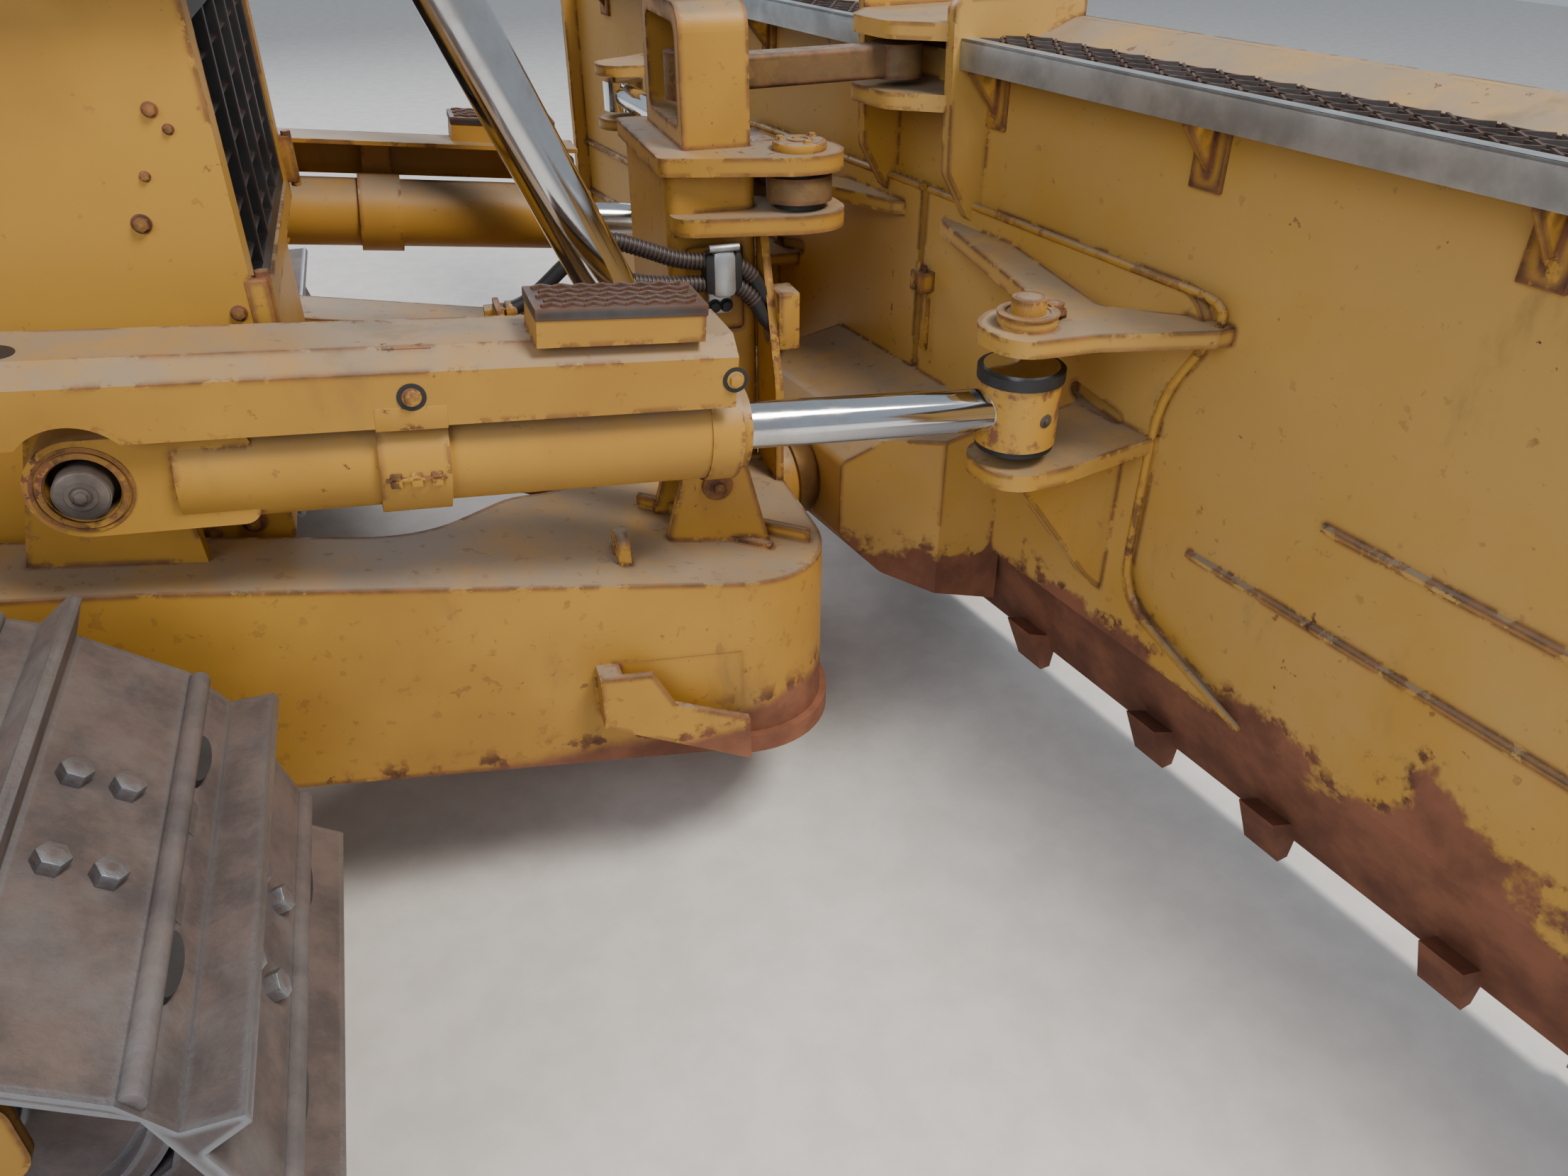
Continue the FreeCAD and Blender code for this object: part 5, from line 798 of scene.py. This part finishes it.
# %% Weld bead on the blade's back
# Each row gives a corner's Y and Z and the radius that rounds it.
BACK_LINE = [(-10, 949, 0), (-770, 946, 60), (-660, 766, 70), (-655, 394, 90), (-945, 303, 0)]
BACK_XB = 334.0
lines = []
for side in (1, -1):
    outline = [Vector((BACK_XB, side * y, z)) for y, z, radius in BACK_LINE]
    line = [outline[0]]
    for before, corner, after, row in zip(outline, outline[1:], outline[2:], BACK_LINE[1:]):
        line += bend(corner, before, after, row[2])
    lines.append(line + [outline[-1]])
bead("blade_welds", lines, 7, "blade", ON_BLADE)

# %% Grease block of the blade
GREASE_Y, GREASE_TOP = -32.0, 802.0
greaser = bmesh.new()
slab(greaser, (298, 330), GREASE_Y, 20, (GREASE_TOP - 39, GREASE_TOP), 2.5)
block(greaser, (322, -42, 640), (332, -24, 766), 1.5)
for shift in (-10, 0, 10):
    post(greaser, 312, GREASE_Y + shift, GREASE_TOP - 2, GREASE_TOP + 10, 4.5, 0.5, 12)
    post(greaser, 312, GREASE_Y + shift, GREASE_TOP + 9, GREASE_TOP + 14, 2.6, 0.5, 10)
for drop in (27, 12):
    bolt(greaser, (299, GREASE_Y, GREASE_TOP - drop), (-1, 0, 0), 5)
piece("grease_block", greaser, PAINT, "yellow_paint", "blade", ON_BLADE)

# %% Plough bolts of the cutting edge
# Sunk round heads, flush with the edge's leaning front face, in one row at an even pitch.
EDGE_FOOT_X, EDGE_FOOT_Z = 477.3, 64.0
BIT_FOOT_X, BIT_FOOT_Z = EDGE_FOOT_X + 8.0, 44.0
EDGE_LEAN, BOLT_Z = 0.22, 150.0
EDGE_BOLTS = range(-1400, 1600, 200)
BIT_BOLTS = (1580, 1720, 1860)
ploughs = bmesh.new()
lean = Vector((1, 0, EDGE_LEAN)).normalized()
rows = [(y, EDGE_FOOT_X, EDGE_FOOT_Z) for y in EDGE_BOLTS]
rows += [(side * y, BIT_FOOT_X, BIT_FOOT_Z) for side in (-1, 1) for y in BIT_BOLTS]
for y, foot_x, foot_z in rows:
    face = Vector((foot_x - EDGE_LEAN * (BOLT_Z - foot_z), y, BOLT_Z))
    drum(ploughs, face - lean * 5, face + lean * 2.5, 15, 1.2, 24)
piece("plough_bolts", ploughs, EDGE_STEEL, "edge_steel", "blade", ON_BLADE)

# %% [markdown]
# ## Track shoes
# Each shoe is bolted to its link with four hexagon heads, and its rear edge rolls over the next shoe. The
# shoes' places are read off the CAD track itself: a shoe's plate is the strip behind its bar, and is wider
# on the straight runs, where it lies flush with the next one.

# %% Places of the shoes
PLATE_RUN = (0.120, 0.160)


def shoe_plates(node):
    """The front end, direction and outward normal of each shoe plate, in the track's own plane."""
    mesh = node.data
    low = min(vert.co.y for vert in mesh.vertices)
    found = {}
    for face in mesh.polygons:
        if abs(face.normal.y) > 0.1:
            continue
        corners = [mesh.vertices[i].co for i in face.vertices]
        for a, b in zip(corners, corners[1:] + corners[:1]):
            if max(a.y, b.y) < low + 0.001 and PLATE_RUN[0] < (a - b).length < PLATE_RUN[1]:
                run = Vector((-face.normal.z, 0, face.normal.x))
                end = max((a, b), key=lambda spot: spot.dot(run))
                found[tuple(round(v, 3) for v in end)] = (end.copy(), run, face.normal.copy())
    return list(found.values())


# %% Bolts, painted slot shade and rolled edges of the shoes
# Shares of the pitch say how far along a shoe its bolts, its rolled rear edge and its mud slots lie.
PITCH = 0.19516
PLATE_END = 0.70
BOLT_SHARES, ROLL_SHARE, SLOT_SHARE = (0.26, 0.52), -0.02, -0.085
RAIL_HALF, SLOT_Y, SHOE_HALF = 0.063, 0.150, 0.300
BOLT_RADIUS, BOLT_HEIGHT = 0.0165, 0.016
ROLL_RADIUS = 0.0125
SLOT_SIZE = (0.040, 0.0125, 1.0, 1.0)
ACROSS = Vector((0, 1, 0))


def on_shoe(end, run, share, y):
    """A spot on the shoe whose plate ends at end, at a share of the pitch along it."""
    spot = end - run * (PITCH * (PLATE_END - share))
    return Vector((spot.x, y, spot.z))


for word, side in SIDES:
    low, high = box_of(f"track_{word}")
    middle = (low.y + high.y) / 2
    plates = shoe_plates(nodes[f"track_{word}"])
    heads, rolls, slot_shade_ovals = bmesh.new(), bmesh.new(), bmesh.new()
    for end, run, out in plates:
        for share in BOLT_SHARES:
            for y in (-RAIL_HALF, RAIL_HALF):
                foot = on_shoe(end, run, share, middle + y)
                drum(heads, foot - out * 0.003, foot + out * BOLT_HEIGHT, BOLT_RADIUS, 0.0016, 6)
        roll = [on_shoe(end, run, ROLL_SHARE, middle + y) - out * 0.002 for y in (-SHOE_HALF, SHOE_HALF)]
        drum(rolls, *roll, ROLL_RADIUS, 0.002, 14)
        # The mud slots are not cut: dark ovals on the plate are painted shade where the open slots would be.
        lay = Matrix((ACROSS, -run, out)).transposed().to_4x4() @ Matrix.Diagonal(SLOT_SIZE)
        for y in (-SLOT_Y, SLOT_Y):
            spot = Matrix.Translation(on_shoe(end, run, SLOT_SHARE, middle + y) - out * 0.0045)
            bmesh.ops.create_cone(slot_shade_ovals, cap_ends=True, segments=22, radius1=1.0, radius2=1.0, depth=0.012,
                                  matrix=spot @ lay)
    print(f"track_{word} plates", len(plates))
    piece(f"shoe_bolts_{word}", heads, SHOE_STEEL, "track_steel", "chassis", Matrix())
    piece(f"shoe_slot_shade_{word}", slot_shade_ovals, TRIM, "trim", "chassis", Matrix())
    piece(f"shoe_rolls_{word}", rolls, ROLL_STEEL, "track_steel", "chassis", Matrix())

# %% [markdown]
# ## Cylinder rods
# The bearing eyes at the ends of the rods are castings, sprayed yellow with the machine, while the rods stay
# bright. Both are one solid in the CAD, so the finish changes over at the eye's own radius.

# %% Rod finishes
EYE_BLUR = 0.0015
ANGLE_FILM = {"share": 0.55, "bright": (0.66, 0.67, 0.69), "oil": (0.30, 0.235, 0.18),
              "rough": 0.22, "bare": 0.09, "painted": 0.42}
LIFT_FILM = {"share": 0.6, "bright": (0.62, 0.61, 0.60), "oil": (0.27, 0.20, 0.15),
             "rough": 0.25, "bare": 0.1, "painted": 0.4}


def near_eye(f, eye, axes, reach):
    """1 on the eye and 0 on the rod, told by how far a spot is from the pin's line, along two axes."""
    spot = f.spot()
    away = [f.maths("SUBTRACT", spot[axis], eye["XYZ".index(axis)]) for axis in axes]
    flat = f.plus(f.times(away[0], away[0]), f.times(away[1], away[1]))
    return f.ramp(f.maths("SQRT", flat, 0.0), reach + EYE_BLUR, reach - EYE_BLUR), spot


def rod_finish(f, near, film):
    """Chrome under a film of oily dust where near is 0, and worn yellow where it is 1."""
    paint = f.blend(f.ramp(f.noise(24.0, 6.0, 0.7), 0.5, 0.62), YELLOW, RUST_LIGHT)
    oily = f.ramp(f.noise(5.0, 6.0, 0.65, offset=3.0), 0.45, 0.72)
    chrome = f.blend(f.times(oily, film["share"]), film["bright"], film["oil"])
    matt = f.plus(f.times(oily, film["rough"]), film["bare"])
    f.set(Base_Color=f.blend(near, chrome, paint), Metallic=f.maths("SUBTRACT", 1.0, near),
          Roughness=f.plus(matt, f.times(near, film["painted"])))
    return f.material


# %% Rods of the angle cylinders
EYE_REACH, EYE_HALF = 0.064, 0.051
for word, side in SIDES:
    f = Finish(f"angle_rod_finish_{word}")
    eye = at(*on_blade(EYE_XB, side * EYE_YB, EYE_Z))
    near, spot = near_eye(f, eye, "XY", EYE_REACH)
    drop = f.maths("ABSOLUTE", f.maths("SUBTRACT", spot["Z"], eye.z), 0.0)
    near = f.times(near, f.ramp(drop, EYE_HALF + 0.001, EYE_HALF - 0.001))
    f.relief(f.times(near, f.noise(60.0, 5.0)), 0.5, 0.001)
    nodes[f"angle_rod_{word}"].material_slots[0].material = rod_finish(f, near, ANGLE_FILM)

# %% Rods of the lift cylinders
LIFT_REACH = 0.056
for word, side in SIDES:
    f = Finish(f"lift_rod_finish_{word}")
    near, spot = near_eye(f, at(LIFT_X, side * LIFT_Y, LIFT_Z), "XZ", LIFT_REACH)
    nodes[f"lift_rod_{word}"].material_slots[0].material = rod_finish(f, near, LIFT_FILM)

# %% [markdown]
# ## Nose and hood
# The nose carries a few bolts, a narrow ledge and the hinge that holds the grille. The hood's doors have
# flush latches and hinges, and the filler caps stand on top.

# %% Nose trim
NOSE_SIDE = 458.0
NOSE_BOLTS = ((3220, 1247, 7), (3234, 1225, 5), (3196, 1175, 5), (3178, 1122, 9), (2960, 1320, 9),
              (2960, 1010, 9), (3258, 1004, 8))
GRILLE_HINGE = (3294.0, 446.0, 1002.0)
for word, side in SIDES:
    trim = bmesh.new()
    for x, z, size in NOSE_BOLTS:
        bolt(trim, (x, side * NOSE_SIDE, z), (0, side, 0), size)
    slab(trim, (2985, 3222), side * (NOSE_SIDE + 1), 7, (955, 990), 4)
    slab(trim, (3272, 3300), side * (NOSE_SIDE - 10), 12, (960, 1044), 3)
    x, y, z = GRILLE_HINGE
    post(trim, x, side * y, z - 50, z + 50, 9, 1.5, 18)
    piece(f"nose_trim_{word}", trim, RUSTY_PART, "yellow_paint")

# %% Latches and hinges of the hood doors
HOOD_SIDE = 372.0
LATCHES_X, LATCH_Z = (1850, 2290, 2420, 2810), 1414.0
HINGES_X, HINGES_Z = (1842, 2834), (1120, 1680)
for word, side in SIDES:
    hood = bmesh.new()
    for x in LATCHES_X:
        slab(hood, (x - 36, x + 36), side * HOOD_SIDE, 4, (LATCH_Z - 22, LATCH_Z + 22), 3)
        collar(hood, (x + 18, side * (HOOD_SIDE + 3), LATCH_Z), (0, side, 0), 4, 13, 4, 24)
        slab(hood, (x - 28, x + 4), side * (HOOD_SIDE + 4), 2, (LATCH_Z - 6, LATCH_Z + 6), 1)
    for x in HINGES_X:
        for z in HINGES_Z:
            post(hood, x, side * (HOOD_SIDE + 6), z - 45, z + 45, 9, 2, 18)
            slab(hood, (x - 24, x + 24), side * HOOD_SIDE, 3, (z - 38, z + 38), 1.5)
    piece(f"hood_latches_{word}", hood, BLACK_PAINT, "black_paint")

# %% Filler caps
# Each row gives a cap's X, Y and the heights of its foot, neck, lid and handle, and then the radii of neck
# and lid and the half length and half width of the handle.
FILLERS = ((3010, 0, (1928, 1950, 1972, 1984), 62, 53.32, 49.6, 10),
           (2050, -190, (1928, 1950, 1972, 1984), 44, 37.84, 35.2, 10),
           (-200, 380, (1848, 1872, 1898, 1910), 70, 58, 50, 12))
caps = bmesh.new()
for x, y, (foot, neck, lid, handle), neck_radius, lid_radius, length, width in FILLERS:
    post(caps, x, y, foot, neck, neck_radius, 4, 36)
    post(caps, x, y, neck - 2, lid, lid_radius, 5, 36)
    slab(caps, (x - width, x + width), y, length, (lid - 2, handle), 3)
piece("filler_caps", caps, BLACK_PAINT, "black_paint")

# %% Exhaust clamps
STACK_X, STACK_Y, STACK_RADIUS = 2350.0, 150.0, 57.0
CLAMPS = ((2452, 62, 14), (2040, 63, 22), (2300, 63, 22))
flap = bmesh.new()
for z, outer, depth in CLAMPS:
    collar(flap, (STACK_X, STACK_Y, z), UP, STACK_RADIUS, outer, depth)
for number in range(6):
    turn = number * 1.047
    bolt(flap, (STACK_X + 78 * math.cos(turn), STACK_Y + 78 * math.sin(turn), 1989), UP, 8)
piece("exhaust_clamps", flap, STACK, "stack_steel")

# %% [markdown]
# ## Cab and rear
# Handles on the doors ride with the doors. Wipers lie on the front glass, wire guards protect the lamps, and
# the roof is screwed down on its posts.

# %% Door pulls and the cab's bolts
PULL_X, PULL_Y, PULL_Z = 1345.0, 738.0, 1610.0
ROOF_BOLTS, POST_BOLTS = (420, 760, 1100, 1440, 1700), (1240, 1320, 1400)
for word, side in SIDES:
    pull = bmesh.new()
    slab(pull, (PULL_X - 15, PULL_X + 65), side * PULL_Y, 5, (PULL_Z - 50, PULL_Z + 50), 4)
    drum(pull, (PULL_X, side * (PULL_Y + 4), PULL_Z), (PULL_X, side * (PULL_Y + 24), PULL_Z), 9, 1.5, 18)
    drum(pull, (PULL_X - 15, side * (PULL_Y + 22), PULL_Z), (PULL_X + 67, side * (PULL_Y + 22), PULL_Z - 8),
         9, 3, 18)
    lock = Vector((PULL_X + 43, side * (PULL_Y + 3), PULL_Z + 30))
    drum(pull, lock, lock + Vector((0, side * 7, 0)), 8, 1, 18)
    piece(f"door_pull_{word}", pull, BLACK_PAINT, "black_paint", f"door_{word}")
    screws = bmesh.new()
    for x in ROOF_BOLTS:
        bolt(screws, (x, side * 700, 3130), UP, 9)
        bolt(screws, (x, side * 760, 3056), (0, side, 0), 8)
    for z in POST_BOLTS:
        bolt(screws, (470, side * 726, z), (0, side, 0), 8)
    piece(f"cab_bolts_{word}", screws, RUSTY_PART, "yellow_paint")

# %% Wire guards of the lamps
LAMP_FACES = (1855.0, 265.0)
LAMP_Y, LAMP_Z = 610.0, 3010.0
WIRE = 3.5
guards = bmesh.new()
for x in LAMP_FACES:
    for y in (-LAMP_Y, LAMP_Y):
        for shift in (-30, 30):
            post(guards, x, y + shift, LAMP_Z - 34, LAMP_Z + 34, WIRE, 0.8, 12)
        for rise in (-16, 16):
            drum(guards, (x, y - 88, LAMP_Z + rise), (x, y + 88, LAMP_Z + rise), WIRE, 0.8, 12)
piece("lamp_guards", guards, BLACK_PAINT, "black_paint")

# %% [markdown]
# ## Undercarriage
# Idlers and roller frames have bolted caps. They are seen from the side, so they get rings and rows of
# heads, in metres here because their places are read off the CAD's own boxes.

# %% Hub caps
HUB_RADIUS, HUB_RING = 0.075, 0.056
FRAME_BOLTS, FRAME_ROWS = 7, (0.286, 0.34)
FRAME_START, FRAME_REST = 0.25, 0.75
for word, side in SIDES:
    out = Vector((0, side, 0))
    low, high = box_of(f"idler_{word}")
    hub = (low + high) / 2
    hub.y = side * max(abs(high.y), abs(low.y))
    hubs = bmesh.new()
    drum(hubs, hub - out * 0.004, hub + out * 0.012, HUB_RADIUS, 0.003, 36)
    for number in range(8):
        turn = number * math.pi / 4
        spot = hub + out * 0.011 + Vector((math.cos(turn), 0, math.sin(turn))) * HUB_RING
        drum(hubs, spot, spot + out * 0.009, 0.009, 0.0008, 6)
    drum(hubs, hub + out * 0.011, hub + out * 0.017, 0.017, 0.0015, 20)
    low, high = box_of(f"track_frame_{word}")
    face = (high.y if side > 0 else low.y) - side * 0.002
    pitch = (high.x - low.x - FRAME_REST) / (FRAME_BOLTS - 1)
    for number in range(FRAME_BOLTS):
        for z in FRAME_ROWS:
            foot = Vector((low.x + FRAME_START + number * pitch, face, z))
            drum(hubs, foot, foot + out * 0.012, 0.013, 0.001, 6)
    piece(f"hub_caps_{word}", hubs, PAINT, "yellow_paint", "chassis", Matrix())

# %% [markdown]
# ## Fenders, chests and tank
# A driver walks over the fenders, so they carry rows of raised tread bars. The chests behind the doors have
# lids with hinges and latches, and two straps hold the tank. The windscreen has two wipers.

# %% Treads of the fenders
DECK_TOP = 1090.0
DECK_X, DECK_Y = (680, 112, 13), (800, 66, 8)
for word, side in SIDES:
    treads = bmesh.new()
    for row in range(DECK_X[2]):
        for column in range(DECK_Y[2]):
            lean = Matrix.Rotation(0.7 if (row + column) % 2 else -0.7, 4, "Z")
            x, y = DECK_X[0] + row * DECK_X[1], side * (DECK_Y[0] + column * DECK_Y[1])
            block(treads, (-20, -4, -2), (20, 4, 3), 1.2, Matrix.Translation((x, y, DECK_TOP + 1)) @ lean)
    piece(f"deck_treads_{word}", treads, RUSTY_PART, "yellow_paint")

# %% Lids of the chests
LID_REAR, LID_FRONT, LID_Y, LID_HALF = -194.0, 526.0, 1016.0, 272.0
CHEST_TOP, CHEST_IN, CHEST_OUT = 1450.0, 730.0, 1282.0
for word, side in SIDES:
    lid = bmesh.new()
    slab(lid, (LID_REAR, LID_FRONT), side * LID_Y, LID_HALF, (CHEST_TOP - 2, CHEST_TOP + 7), 3)
    slab(lid, (LID_REAR, LID_FRONT), side * (CHEST_OUT + 2), 4, (CHEST_TOP - 44, CHEST_TOP + 5), 2)
    piece(f"chest_lid_{word}", lid, PAINT, "yellow_paint")
    locks = bmesh.new()
    for x in (0, 340):
        slab(locks, (x - 20, x + 20), side * (CHEST_OUT + 4), 6, (CHEST_TOP - 98, CHEST_TOP - 26), 3)
        knob = Vector((x, side * (CHEST_OUT + 8), CHEST_TOP - 78))
        drum(locks, knob, knob + Vector((0, side * 7, 0)), 9, 1.5, 18)
        hinge = Vector((x, side * (CHEST_IN + 20), CHEST_TOP + 7))
        drum(locks, hinge - Vector((45, 0, 0)), hinge + Vector((45, 0, 0)), 8, 2, 18)
    piece(f"chest_locks_{word}", locks, BLACK_PAINT, "black_paint")

# %% Tank straps
TANK_TOP, TANK_REAR = 1854.0, -645.0
straps = bmesh.new()
for y in (-420, 420):
    slab(straps, (-392, 404), y, 30, (TANK_TOP - 7, TANK_TOP), 1.5)
    slab(straps, (TANK_REAR, TANK_REAR + 7), y, 30, (1226, 1600), 1.5)
    for x in (-300, 330):
        bolt(straps, (x, y, TANK_TOP - 1), UP, 10)
slab(straps, (TANK_REAR - 1, TANK_REAR + 7), 0, 120, (1300, 1480), 3)
for y in (-96, 96):
    for z in (1322, 1458):
        bolt(straps, (TANK_REAR, y, z), (-1, 0, 0), 8)
piece("tank_straps", straps, PAINT, "yellow_paint")

# %% Wipers
wipers = bmesh.new()
for y in (-330, 290):
    foot, knee, tip = Vector((1750, y, 1508)), Vector((1724, y + 60, 1640)), Vector((1679, y + 190, 2110))
    ahead = Vector((1, 0, 0))
    drum(wipers, foot - ahead * 14, foot + ahead * 8, 17, 3, 20)
    drum(wipers, foot, knee, 5, 1, 12)
    drum(wipers, knee, knee.lerp(tip, 0.5) + ahead * 3, 5, 1, 12)
    drum(wipers, knee - ahead * 4, tip, 5.5, 1, 12)
piece("wipers", wipers, BLACK_PAINT, "black_paint")

# %% [markdown]
# ## Floor, light and camera
# A pale studio floor and three large soft lamps. The camera stands beside the track and looks down across
# the nose at the blade, with the wide lens that the photograph's edges show.

# %% Stage
FLOOR_HALF = 14.0
FLOOR_GREY = (0.68, 0.66, 0.63)
board = bmesh.new()
bmesh.ops.create_grid(board, x_segments=2, y_segments=2, size=FLOOR_HALF)
floor_mesh = bpy.data.meshes.new("studio_floor")
board.to_mesh(floor_mesh)
board.free()
floor = show("studio_floor", floor_mesh)
floor_mesh.materials.append(plain("pale_floor", FLOOR_GREY, 0.9, grain=8.0, depth=0.002, spread=0.05))
floor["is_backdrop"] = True


def soft_lamp(name, place, target, size, power, colour):
    """A square lamp that looks at a target."""
    light = bpy.data.lights.new(name, "AREA")
    light.size = size
    light.energy = power
    light.color = colour
    lamp = show(name, light)
    lamp.location = place
    lamp.rotation_euler = (target - place).to_track_quat("-Z", "Y").to_euler()


WATCHED = at(3900, -200, 600)
soft_lamp("key", at(6400, -3400, 6500), WATCHED, 2.2, 560, (1.0, 0.93, 0.84))
soft_lamp("fill", at(-1500, -6500, 5000), WATCHED, 5.0, 400, (0.86, 0.92, 1.0))
soft_lamp("back", at(2000, 6500, 5500), WATCHED, 4.0, 340, (0.95, 0.96, 1.0))
world = bpy.data.worlds.new("studio")
world.use_nodes = True
sky = world.node_tree.nodes["Background"]
sky.inputs["Color"].default_value = (0.74, 0.82, 0.92, 1.0)
sky.inputs["Strength"].default_value = 0.5
bpy.context.scene.world = world

# %% Camera
# The lens and the two directions were solved from the photograph's straight edges.
IMAGE_WIDTH, FOCAL_PIXELS, SENSOR = 2212, 1637.0, 36.0
CAMERA_SPOT = at(3470, -2020, 1500)
RIGHT = Vector((0.9505, -0.3107, 0.0))
AHEAD = Vector((0.2618, 0.8008, -0.5388))
camera = bpy.data.cameras.new("camera")
camera.sensor_width = SENSOR
camera.lens = SENSOR * FOCAL_PIXELS / IMAGE_WIDTH
camera.clip_start = 0.02
eye = show("camera", camera)
turn = Matrix((RIGHT, RIGHT.cross(AHEAD), -AHEAD)).transposed().to_4x4()
eye.matrix_world = Matrix.Translation(CAMERA_SPOT) @ turn
bpy.context.scene.camera = eye
print("lens", round(camera.lens, 2), "mm on", SENSOR, "mm")

# %% [markdown]
# ## The size before and after dressing
# The box before and after dressing is printed.

# %% The overall size
dressed_box = [list(corner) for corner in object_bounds()]
for word, box in (("cad", cad_box), ("dressed", dressed_box)):
    print(word, [[round(v, 4) for v in corner] for corner in box])
